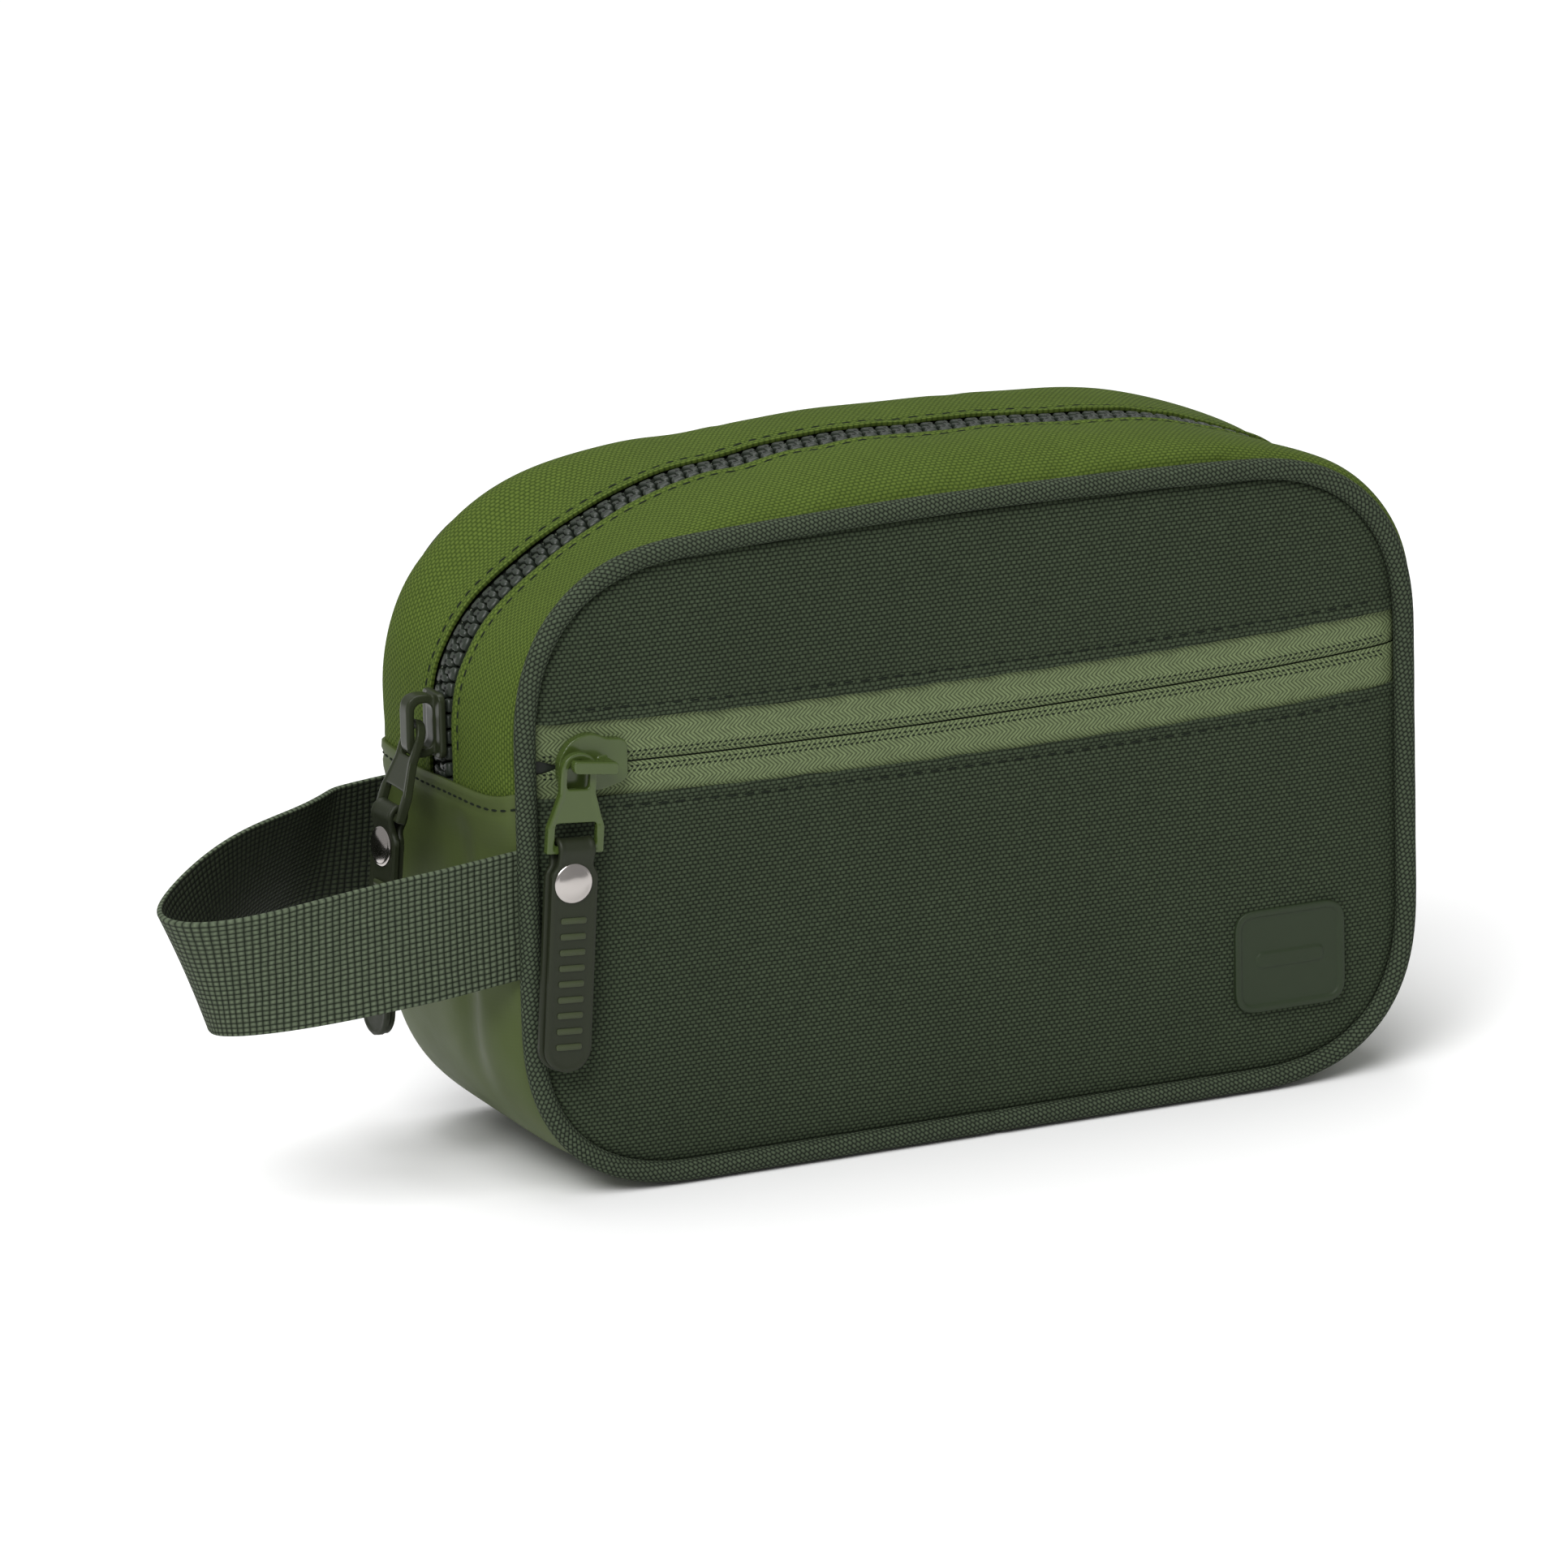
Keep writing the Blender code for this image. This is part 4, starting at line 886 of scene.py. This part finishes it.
def seam_beside(side, height, upward, inset):
    """The seam's line above, or below, a height, a little inside the piping."""
    seam = both_sides(even(side_line(half_seam(SEAM_DRAW[side]), height, upward), GUSSET_STATIONS))
    return seam - outward(seam) * inset


def band_points(seam, crown, share):
    """Points between the seam line and the crown line: rows along, columns across."""
    return seam[:, None] + (crown - seam)[:, None] * share[..., None]


def swollen(grid, slack, most):
    """How far each point of a gusset swells, up to most."""
    push = spread_grid(inflated(grid[::2, ::3], slack), grid.shape[:2])
    return push * min(1.0, most / np.linalg.norm(push, axis=-1).max())


def top_gusset(name, side):
    """Light woven strip between the piping and the main zip, folded under and stitched at the zip."""
    height = max(HEM_Z) - UNDERLAP
    seam = seam_beside(side, height, True, SEAM_INSET)
    crown = crown_line(height, True, GUSSET_STATIONS)
    low_fold, top_fold = FOLDS[side]
    fold_y = low_fold + (top_fold - low_fold) * smooth((crown[:, 1] - CROWN_START) / 50.0)
    end = SEWN_Y + SEWN_REACH[side]
    near, far = np.linspace(0, 0.2, 10, endpoint=False), 1 - 0.8 * (1 - np.linspace(0, 1, 36)) ** 2.2
    share = np.concatenate((near, far))[None, :]
    y = side * (fold_y[:, None] + (end - fold_y[:, None]) * share)
    grid = in_depth(band_points(seam, crown, fullness(share, side, crown)), y)
    grid += swollen(grid, 0.004, 1.0)
    out = outward(crown)
    from_fold = np.abs(y) - fold_y[:, None]
    groove = 0.22 * hump(from_fold, 1.2, 1.3) - 0.32 * hump(from_fold, HEM_STITCH, 0.8)
    wave = 0.3 * ripple(grid[..., 0], grid[..., 1], grid[..., 2], 9.0, 5.0) * np.exp(-from_fold / 7.0)
    lift = (groove + wave) * smooth((np.arange(len(crown)) / 6.0))[:, None]
    middle, height = BULGES[side]
    there = hump(crown[:, 0], middle, 27.0) * smooth((crown[:, 1] - 104.0) / 34.0)
    lift += height * there[:, None] * hump(np.abs(y), 29.0, 11.0) * smooth((end - np.abs(y)) / 5.0)
    lift_rows(grid, out, lift)
    made = sheet(f"top_gusset_cloth_{name}", grid, "gusset", thick=GUSSET_THICK, bevel=0.3)
    finished(made, "bag", "gusset_weave", f"top_gusset_{name}")
    row = towards_zip(crown[8:-8], out[8:-8], 12.0, side * (fold_y + HEM_STITCH)[8:-8])
    stitches(f"top_gusset_stitching_{name}", [row], made, "stitch_dark")


def towards_zip(line, out, distance, y):
    """Points outside the crown line at these Y, and rays towards it."""
    start = line + out * distance
    across = np.broadcast_to(y, len(line))
    starts = np.column_stack((start[:, 0], across, start[:, 1]))
    return starts, np.column_stack((-out[:, 0], 0 * across, -out[:, 1]))


def spread_grid(values, shape):
    """A coarse grid of vectors stretched over a finer one."""
    for axis, count in enumerate(shape):
        place = np.linspace(0, values.shape[axis] - 1, count)
        low = np.minimum(place.astype(int), values.shape[axis] - 2)
        share = (place - low)[:, None, None] if axis == 0 else (place - low)[:, None]
        values = np.take(values, low, axis) * (1 - share) + np.take(values, low + 1, axis) * share
    return values


def coated_gusset():
    """The coated band round the sides and the bottom, hemmed over the light gusset at both ends."""
    top = max(HEM_Z)
    crown = crown_line(top, False, GUSSET_STATIONS)
    share = 1 - (1 - np.linspace(0, 1, 33)) ** 2.2
    widths = [(side, SEWN_Y + SEWN_REACH[side]) for side in (-1, 1)]
    y = np.concatenate([side * share[::side][int(side > 0):] * end for side, end in widths])
    halves = []
    for side, end in widths:
        seam = seam_beside(side, top, False, SEAM_INSET * 0.5)
        from_zip = np.clip((np.abs(y) - FOLDS[side][0]) / (end - FOLDS[side][0]), 0, 1)
        halves.append(band_points(seam, crown, fullness(from_zip[None, :], side, crown)))
    grid = in_depth(np.where((y < 0)[None, :, None], *halves), y[None, :])
    along = lengths_along(crown)
    along = np.minimum(along, along[-1] - along)
    sides = smooth((100.0 - along) / 40.0)
    grid += swollen(grid, 0.012, 1.6) * (0.15 + 0.85 * sides)[:, None, None]
    left = np.arange(len(crown)) < len(crown) / 2
    down_left = (smooth(along / 22.0) * smooth((88.0 - along) / 30.0) * left)[:, None]
    hem = 0.5 * hump(along, 1.3, 1.3)[:, None] - 0.6 * hump(along, HEM_STITCH + 0.2, 0.9)[:, None]
    lap = COATED_LIFT * (1 - smooth((along - 5.0) / 10.0))[:, None]
    lift = lap + hem - 2.0 * hump(y, -13.0, 6.0) * down_left + 0.9 * hump(y, -24.0, 7.0) * down_left
    out = outward(crown)
    lift_rows(grid, out, lift * smooth((SEWN_Y + 1.0 - np.abs(y)) / 3.0))
    drop = top - softened(np.interp(y, HEM_Y, HEM_Z), 6)
    grid[..., 2] -= drop[None, :] * np.clip(1 - along / 26.0, 0, 1)[:, None]
    grid[..., 2] = np.maximum(grid[..., 2], 0.0)
    made = sheet("coated_gusset_cloth", grid, "coated", thick=GUSSET_THICK, bevel=0.35)
    finished(made, "bag", "coated_gusset", "lower_gusset")
    lines = []
    first = int(np.argmin(np.abs(along[:40] - HEM_STITCH)))
    last = len(along) - 1 - int(np.argmin(np.abs(along[::-1][:40] - HEM_STITCH)))
    for row in (first, last):
        line = grid[row][3:-3]
        away = np.array((out[row, 0], 0.0, out[row, 1]))
        lines.append((line + away * 10.0, np.tile(-away, (len(line), 1))))
    stitches("coated_gusset_stitching", lines, made, "stitch_dark", HEM_STITCH_SIZE)


def crown_frame(count):
    """Evenly spaced points of the main zip's line, with tangents, outward vectors and its length."""
    line = crown_line(min(ZIP_END, min(HEM_Z)) - 3.0, True, 400)
    points = even(line, count)
    return points, tangents(points), outward(points), lengths_along(line)[-1]


def main_zip_teeth(name, side):
    """One row of moulded teeth, each with a rounded body, a neck and a head that locks with the others."""
    dense, run, out, length = crown_frame(1000)
    travelled = np.linspace(0, length, len(dense))
    teeth = Gathered()
    recess_shades = Gathered()
    outline = np.array(TOOTH)
    turns = np.linspace(0, 2 * math.pi, 9)[:-1]
    circle = np.column_stack((TOOTH_PIT[0] * np.cos(turns), TOOTH_PIT[1] * np.sin(turns) + TOOTH_PIT[2]))
    for middle in np.arange(2.0 + (side > 0) * TOOTH_PITCH / 2, length - 2.0, TOOTH_PITCH):
        at, tangent, normal = (sampled([middle], travelled, values) for values in (dense, run, out))

        def placed(flat, depth):
            spot = at + flat[:, :1] * tangent + (depth - TOOTH_SINK) * normal
            return np.column_stack((spot[:, 0], side * flat[:, 1], spot[:, 1]))

        rings = [placed(TOOTH_CENTRE + (outline - TOOTH_CENTRE) * share, depth)
                 for share, depth in TOOTH_LAYERS]
        teeth.add(np.vstack(rings), prism_faces(len(rings), len(outline)))
        # Each recess is a near-black disc in the tooth's face: painted shade.
        recess_shades.add(np.vstack([placed(circle, depth) for depth in (-0.4, 0.03)]), prism_faces(2, len(circle)))
    made = teeth.make(f"main_teeth_{name}", "teeth")
    closed_up(made, sharp=50)
    finished(made, "bag", "teeth", f"main_zip_teeth_{name}")
    made = recess_shades.make(f"main_teeth_recess_shades_{name}", "recess_painted_shade")
    closed_up(made)
    finished(made, "bag", "teeth")


def main_tape(name, side):
    points, _, out, _ = crown_frame(240)
    y = np.linspace(3.4, 12.5, 12)
    sink = -MAIN_TAPE_SINK - 0.03 * np.clip(y - 4.0, 0, None) ** 1.5
    x, z = stood_off(points, out, sink)
    grid = in_depth(np.stack((x, z), -1), side * y)
    made = sheet(f"main_tape_{name}", grid, "main_tape", thick=0.5)
    finished(made, "bag", "main_tape", f"main_zip_tape_{name}")
    row = towards_zip(points, out, 4.0, side * TAPE_DOT_Y)
    stitches(f"main_tape_stitching_{name}", [row], made, "stitch_pale", MAIN_TAPE_STITCH, "main_tape")


# ---------------------------------------------------------------- sliders, pulls and straps


def rounded(points, radius, count=6):
    """The outline with each corner replaced by an arc of about this radius."""
    made = []
    shares = np.linspace(0, 1, count + 1)
    points = [np.array(p, float) for p in points]
    for k, corner in enumerate(points):
        start, end = (corner + (other - corner) * min(0.5, radius / np.linalg.norm(other - corner))
                      for other in (points[k - 1], points[(k + 1) % len(points)]))
        made += [(1 - t) ** 2 * start + 2 * t * (1 - t) * corner + t**2 * end for t in shares]
    return made


def rectangle(x_low, x_high, z_low, z_high):
    return [(x_low, z_low), (x_high, z_low), (x_high, z_high), (x_low, z_high)]


def block(x, z, half_length, half_height, radius):
    """A rounded rectangle about a middle."""
    return rounded(rectangle(x - half_length, x + half_length, z - half_height, z + half_height), radius)


def slab(outlines, y_low, y_high):
    """A closed plate in XZ between two depths, with every outline after the first as a hole."""
    curve = bpy.data.curves.new("outline", "CURVE")
    curve.dimensions = "2D"
    curve.fill_mode = "BOTH"
    curve.extrude = (y_high - y_low) / 2
    for points in outlines:
        spline = curve.splines.new("POLY")
        spline.points.add(len(points) - 1)
        for target, (x, z) in zip(spline.points, points):
            target.co = (x, z, 0.0, 1.0)
        spline.use_cyclic_u = True
    mesh = applied(linked("outline", curve))
    mesh.transform(Matrix.Translation((0, (y_low + y_high) / 2, 0)) @ Matrix.Rotation(math.pi / 2, 4, "X"))
    return mesh


def cast(name, meshes, look, where=None, voxel=0.26, rounds=5):
    """One casting from overlapping solids, with the softened edges of a die-cast part."""
    shape = bmesh.new()
    for mesh in meshes:
        shape.from_mesh(mesh)
    bmesh.ops.remove_doubles(shape, verts=shape.verts, dist=0.001)
    rough = bpy.data.meshes.new("rough")
    shape.to_mesh(rough)
    shape.free()
    source = linked("rough", rough)
    remesh = source.modifiers.new("skin", "REMESH")
    remesh.mode = "VOXEL"
    remesh.voxel_size = voxel
    soften = source.modifiers.new("soften", "SMOOTH")
    soften.factor = 0.5
    soften.iterations = rounds
    mesh = applied(source)
    mesh.transform(Matrix.Scale(MM, 4))
    mesh.name = name
    mesh.materials.clear()
    mesh.materials.append(LOOKS[look])
    mesh.shade_smooth()
    if where is not None:
        mesh.transform(where)
    return linked(name, mesh)


def turn_by(degrees, axis):
    return Matrix.Rotation(math.radians(degrees), 4, axis)


def placing(origin, turn=Matrix()):
    """A matrix in metres from an origin in millimetres and a rotation."""
    return Matrix.Translation(Vector(origin) * MM) @ turn


def puller_meshes():
    """Ring, plate and fork, with the ring bar's centre at the origin."""
    side = np.array(PULLER_SIDE)
    outer = np.vstack((side[:1] * (-1, 1), arc(PULLER_RING, 4.7, 180, 0, 16), side, side[:0:-1] * (-1, 1)))
    side = np.array(PULLER_HOLE)
    ring = np.vstack((arc(PULLER_RING, 2.9, 180, 0, 12), side, side[::-1] * (-1, 1)))
    fork = rounded(rectangle(-5.4, 5.4, -22.0, -16.4), 0.9)
    plate = slab([outer, ring, fork], -0.9, 0.9)
    rim = slab([outer, inset_outline(outer, 0.9)], -1.1, 1.1)
    legs = [slab([rectangle(x - 0.75, x + 0.75, -23.9, -17.2)], -1.15, 1.15) for x in (-6.5, 6.5)]
    return [plate, rim, *legs]


def inset_outline(points, distance):
    """The outline with each point moved to the right of its run by this distance."""
    run = np.roll(points, -1, axis=0) - np.roll(points, 1, axis=0)
    return points - to_the_left(run) / np.linalg.norm(run, axis=1)[:, None] * distance


def pocket_slider():
    """A shield-shaped body with a bridge bar across its front."""
    low, high = box_mm("pocket_slider")
    post_x, _, post_z = joint_mm("pocket_puller_swing")
    middle = post_z - 0.65
    shield = rounded([(post_x + x, post_z + z) for x, z in POCKET_SHIELD], 1.3)
    body = slab([shield], -41.7, -39.0)
    crest = slab([inset_outline(shield, -1.2)], -42.6, -40.0)
    back = slab([rounded(rectangle(low[0] + 0.8, high[0] - 0.8, middle - 5, middle + 4), 1.5)], -36.1, -35.1)
    neck = slab([rectangle(post_x + 2.4, post_x + 6.4, middle - 1.4, middle - 0.6)], -39.6, -35.4)
    posts = [slab([block(post_x + x, post_z + z, 1.3, 1.4, 0.7)], -47.4, -40.5) for x, z in POCKET_POSTS]
    bar = slab([rounded([(post_x + x, post_z + z) for x, z in POCKET_BRIDGE], 1.0)], low[1], -46.6)
    solids = [body, crest, back, neck, *posts, bar]
    made = cast("pocket_slider_body", solids, "pocket_metal", voxel=0.2, rounds=3)
    finished(made, "pocket_slider_body", "pocket_metal", "pocket_slider")


def main_slider():
    """A plate along the zip with an arched crown that holds the puller."""
    middle = CROWN_START
    side = -CROWN_HALF_LENGTH
    ring = rounded(rectangle(side - 9.1, side - 0.8, middle - 7.8, middle + 7.8), 4.0, 10)
    window = rounded(rectangle(side - 7.0, side - 2.2, middle - 5.7, middle + 5.7), 2.4, 8)
    crown = slab([ring, window], -2.3, 2.3)
    turn = turn_by(90, "Z")
    face = rounded(rectangle(-5.4, 5.4, middle - 8.2, middle + 8.0), 2.6, 8)
    plate = slab([face], -0.9, 0.9)
    plate.transform(Matrix.Translation((side - 0.9, 0.0, 0.0)) @ turn)
    back = slab([block(0.0, middle, 5.0, 7.0, 1.6)], -0.6, 0.6)
    back.transform(Matrix.Translation((side + 4.8, 0.0, 0.0)) @ turn)
    neck = slab([rectangle(side - 0.4, side + 4.6, middle + 2.0, middle + 6.0)], -0.5, 0.5)
    made = cast("main_slider_body_casting", [crown, plate, back, neck], "main_metal", rounds=10)
    finished(made, "main_slider_body", "main_metal", "main_slider")


def strap(name, where, body, nodes):
    """A rubber strap folded over the fork bar: raised rims, grip bars and a domed rivet."""
    face = 0.15 + STRAP_LAYER / 2
    surface = face + STRAP_LAYER / 2
    ends = np.array([(face, -4.2), (face, -6.0), (face, -STRAP_LENGTH)])
    turn = arc((0.0, 0.0), 1.5 + STRAP_LAYER / 2, 200, -20, 16)
    line = even(relaxed(np.vstack((ends[::-1] * (-1, 1), turn, ends)), 150, 2), 190)
    total = lengths_along(line)
    from_end = np.minimum(total, total[-1] - total)
    half = STRAP_WIDTH / 2
    neck = STRAP_NECK / 2 + (half - STRAP_NECK / 2) * smooth((STRAP_LENGTH - 3.4 - from_end) / 3.0)
    tip = np.sqrt(np.maximum(half**2 - np.maximum(half - from_end, 0) ** 2, 0.09))
    width = np.minimum(neck, tip)
    x = width[:, None] * np.linspace(-1, 1, 23)
    inner = np.maximum(half - from_end, 0.0)[:, None]
    from_edge = np.where(inner > 0, half - np.hypot(x, inner), width[:, None] - np.abs(x))
    rim, wide = STRAP_RIM
    dip = rim * smooth((from_edge - wide) / 0.35)
    top = STRAP_LAYER / 2 - 0.3 * (1 - smooth(from_edge / 0.4)) - dip
    low = -STRAP_LAYER / 2 + 0.25 * (1 - smooth(from_edge / 0.35))
    x = x - 0.9 * smooth((total - STRAP_LENGTH) / 12.0)[:, None]
    out = to_the_left(tangents(line))
    upper, lower = (np.stack((x, *stood_off(line, out, height)), -1) for height in (top, low))
    grid = np.concatenate((upper, lower[:, ::-1]), axis=1)
    rows, columns = grid.shape[:2]
    made = sheet(f"{name}_strap", grid, "rubber", tube=True, middle=np.zeros(3))
    closed_up(made, [range(first, first + columns) for first in (0, (rows - 1) * columns)], 60)
    made.data.transform(where)
    finished(made, body, "rubber", nodes[0])
    bars = Gathered()
    for number in range(GRIP_COUNT):
        z = GRIP_FIRST - STRAP_LENGTH + number * GRIP_STEP
        outline = np.array(rounded(rectangle(-3.3, 3.3, z - 0.75, z + 0.75), 0.6, 3))
        centre = np.array((0.0, z))
        rings = [np.insert(centre + (outline - centre) * (s, 1 - (1 - s) * 3), 1, y - surface, axis=1)
                 for s, y in ((1.0, 0.5), (1.0, -0.05), (0.93, -0.2))]
        bars.add(np.vstack(rings), prism_faces(len(rings), len(outline)))
    grips = bars.make(f"{name}_strap_grips", "grip")
    closed_up(grips, sharp=40)
    grips.data.transform(where)
    finished(grips, body, "rubber")
    cap = turned(f"{name}_rivet_dome", RIVET_DOME, where @ placing((-0.5, 0.25 - surface, -RIVET_DROP)))
    finished(cap, body, "nickel", nodes[1])
    back = turned(f"{name}_rivet_back", RIVET_BACK, where @ placing((-0.4, surface, -RIVET_DROP)))
    finished(back, body, "nickel", nodes[2])


def turned(name, profile, where):
    """A turned nickel piece about Y from (radius, height) points, height towards -Y."""
    points = [(radius * MM, 0.0, height * MM) for radius, height in profile]
    mesh = bpy.data.meshes.new(name)
    mesh.from_pydata(points, [(k, k + 1) for k in range(len(points) - 1)], [])
    source = linked("profile", mesh)
    screw = source.modifiers.new("turning", "SCREW")
    screw.steps = screw.render_steps = 48
    screw.use_merge_vertices = True
    screw.merge_threshold = 1e-5
    mesh = applied(source)
    mesh.transform(where @ turn_by(90, "X"))
    mesh.materials.append(LOOKS["nickel"])
    mesh.shade_smooth()
    made = linked(name, mesh)
    closed_up(made, sharp=45)
    return made


def pulls():
    """Both pullers and straps; the main ones are turned to face the bag's left side."""
    where = placing(joint_mm("pocket_puller_swing"), turn_by(POCKET_TILT, "Y")) @ placing((0, 0, RING_LIFT))
    made = cast("pocket_puller_plate", puller_meshes(), "pocket_metal", where)
    finished(made, "pocket_puller_body", "pocket_metal", "pocket_puller")
    strap("pocket", placing(joint_mm("pocket_strap_lift"), turn_by(POCKET_STRAP_TILT, "Y")), "pocket_strap",
          ("pocket_pull_strap", "pocket_rivet_cap", "pocket_rivet_post"))
    where = placing(joint_mm("main_puller_flip"), turn_by(MAIN_LEAN, "Y") @ turn_by(-90, "Z"))
    made = cast("main_puller_plate", puller_meshes(), "main_metal", where)
    finished(made, "main_puller_body", "main_metal", "main_puller")
    hang = turn_by(MAIN_STRAP_LEAN, "Y") @ turn_by(MAIN_STRAP_TWIST - 90, "Z")
    strap("main", placing(joint_mm("main_strap_hang"), hang), "main_strap",
          ("main_pull_strap", "main_rivet_cap", "main_rivet_post"))


def badge():
    """A plain patch with a raised border."""
    (left, _, low), (right, _, high) = BADGE_LOW, BADGE_HIGH
    outer = rounded(rectangle(left, right, low, high), 5.5, 8)
    mark = rounded(rectangle(left + 6, right - 6, low + 11.2, high - 11.2), 1.6)
    face = -42.3
    solids = [slab([outer], face, -39.5), slab([outer, inset_outline(outer, -1.6)], face - 0.5, -40.0),
              slab([mark], face - 0.4, -40.0)]
    made = cast("badge_patch", solids, "badge", voxel=0.3, rounds=2)
    finished(made, "bag", "badge_rubber", "badge")


def webbing():
    """The handle: one length of ribbed webbing sewn into the seams at the front and the rear."""
    share = np.linspace(0, 1, 61)[:, None]
    weights = ((1 - share) ** 3, 3 * share * (1 - share) ** 2, 3 * share**2 * (1 - share), share**3)
    loop = sum(weight * np.array(guide) for weight, guide in zip(weights, WEB_GUIDES))
    line = relaxed(np.vstack((WEB_ROOTS[0], WEB_STRAIGHTS[0], loop, WEB_STRAIGHTS[1], WEB_ROOTS[1])), 170, 12)
    share = np.linspace(0, 1, len(line))
    middle, leaning = (softened(np.interp(share, WEB_SHARES, values), 200)
                       for values in (WEB_MIDDLE, WEB_LEAN))
    half = np.sqrt((WEB_HEIGHT / 2) ** 2 - leaning**2)
    out = to_the_left(tangents(line))
    out *= np.sign(np.sum(out * (line - WEB_CENTRE[:2]), axis=1))[:, None]
    level = np.linspace(-1, 1, 25)
    x, y = stood_off(line, out, level * leaning[:, None] - 0.5 * (1 - level**2))
    grid = np.stack((x, y, middle[:, None] + level * half[:, None]), -1)
    # The inner side gets the darker look: painted shade inside the loop.
    made = sheet("handle_strap", grid, "webbing", thick=WEB_THICK, bevel=0.45, middle=WEB_CENTRE,
                 inner="webbing_inner_painted_shade")
    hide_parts("handle_webbing")
    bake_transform(made)


# ---------------------------------------------------------------- stage, lights and camera

CAMERA_BEARING = -24.25  # degrees round from the front, towards the bag's left side
CAMERA_RISE = 15.65
CAMERA_ROLL = -1.33
CAMERA_DISTANCE = 2.964
CAMERA_LENS = 281.04
CAMERA_AIM = (-0.0412, -0.0200, 0.0897)
FLOOR_REACH = 40.0
SKY_STRENGTH = 0.42
KEY_STRENGTH = 2.1
KEY_SOFTNESS = 40  # degrees
KEY_WAY = Vector((0.55, 0.62, -1.0))
LIGHT_AIM = Vector((0.0, 0.0, 0.1))
SOFT_LIGHTS = (("top", (0.0, 0.4, 1.6), 1.1, 12.0), ("left", (-0.85, -0.9, 0.95), 0.5, 4.5))  # size and power


def camera():
    data = bpy.data.cameras.new("camera")
    data.lens = CAMERA_LENS
    data.sensor_width = 36.0
    made = linked("camera", data)
    bearing, rise = math.radians(CAMERA_BEARING), math.radians(CAMERA_RISE)
    back = Vector((math.sin(bearing) * math.cos(rise), -math.cos(bearing) * math.cos(rise), math.sin(rise)))
    turn = (-back).to_track_quat("-Z", "Y").to_matrix().to_4x4() @ turn_by(CAMERA_ROLL, "Z")
    made.matrix_world = Matrix.Translation(Vector(CAMERA_AIM) + back * CAMERA_DISTANCE) @ turn
    bpy.context.scene.camera = made


def light(name, kind, way, energy):
    """A light that shines this way."""
    data = bpy.data.lights.new(name, kind)
    data.energy = energy
    made = linked(name, data)
    made.rotation_mode = "QUATERNION"
    made.rotation_quaternion = way.to_track_quat("-Z", "Y")
    return made


def stage():
    """A pale floor, a soft pale surrounding, a wide key light and two smaller soft lights."""
    look = Look("pale_floor", 0.9)
    look.set("Base Color", look.shaded((0.92, 0.92, 0.92), look.spread(look.noise(60.0), 0.99, 1.01)))
    mesh = bpy.data.meshes.new("floor")
    corners = [(x * FLOOR_REACH, y * FLOOR_REACH, 0) for x, y in ((-1, -1), (1, -1), (1, 1), (-1, 1))]
    mesh.from_pydata(corners, [], [(0, 1, 2, 3)])
    mesh.materials.append(look.material)
    floor = linked("floor", mesh)
    floor.location.z = -0.0003
    world = bpy.data.worlds.new("surround")
    world.use_nodes = True
    sky = world.node_tree.nodes["Background"]
    sky.inputs["Color"].default_value = (1.0, 1.0, 1.0, 1.0)
    sky.inputs["Strength"].default_value = SKY_STRENGTH
    bpy.context.scene.world = world
    light("key", "SUN", KEY_WAY, KEY_STRENGTH).data.angle = math.radians(KEY_SOFTNESS)
    for name, place, size, power in SOFT_LIGHTS:
        made = light(name, "AREA", LIGHT_AIM - Vector(place), power)
        made.location = place
        made.data.size = size
    bpy.context.scene.view_settings.view_transform = "Standard"


def main():
    for node, look in HIDDEN_LOOKS.items():
        for slot in frame["nodes"][node].material_slots:
            slot.material = LOOKS[look]
    front = Face(-1, 1.0)
    rear = Face(1, 4.0)
    upper = panel_half("front_panel_upper", front, True)
    lower = panel_half("front_panel_lower", front, False)
    for piece, name, heights, way in ((upper, "upper", FOLD_HIGH, 1), (lower, "lower", FOLD_LOW, -1)):
        row = front_line(heights, way * HEM_STITCH, -112.0, 112.0)
        stitches(f"front_stitching_{name}", [row], piece, "stitch_dark")
    rear_panel(rear)
    pocket_zip(front)
    for name, side in (("front", -1), ("rear", 1)):
        piping(name, side)
        top_gusset(name, side)
        main_tape(name, side)
        main_zip_teeth(name, side)
    coated_gusset()
    pocket_slider()
    main_slider()
    pulls()
    badge()
    webbing()
    stage()
    camera()


main()
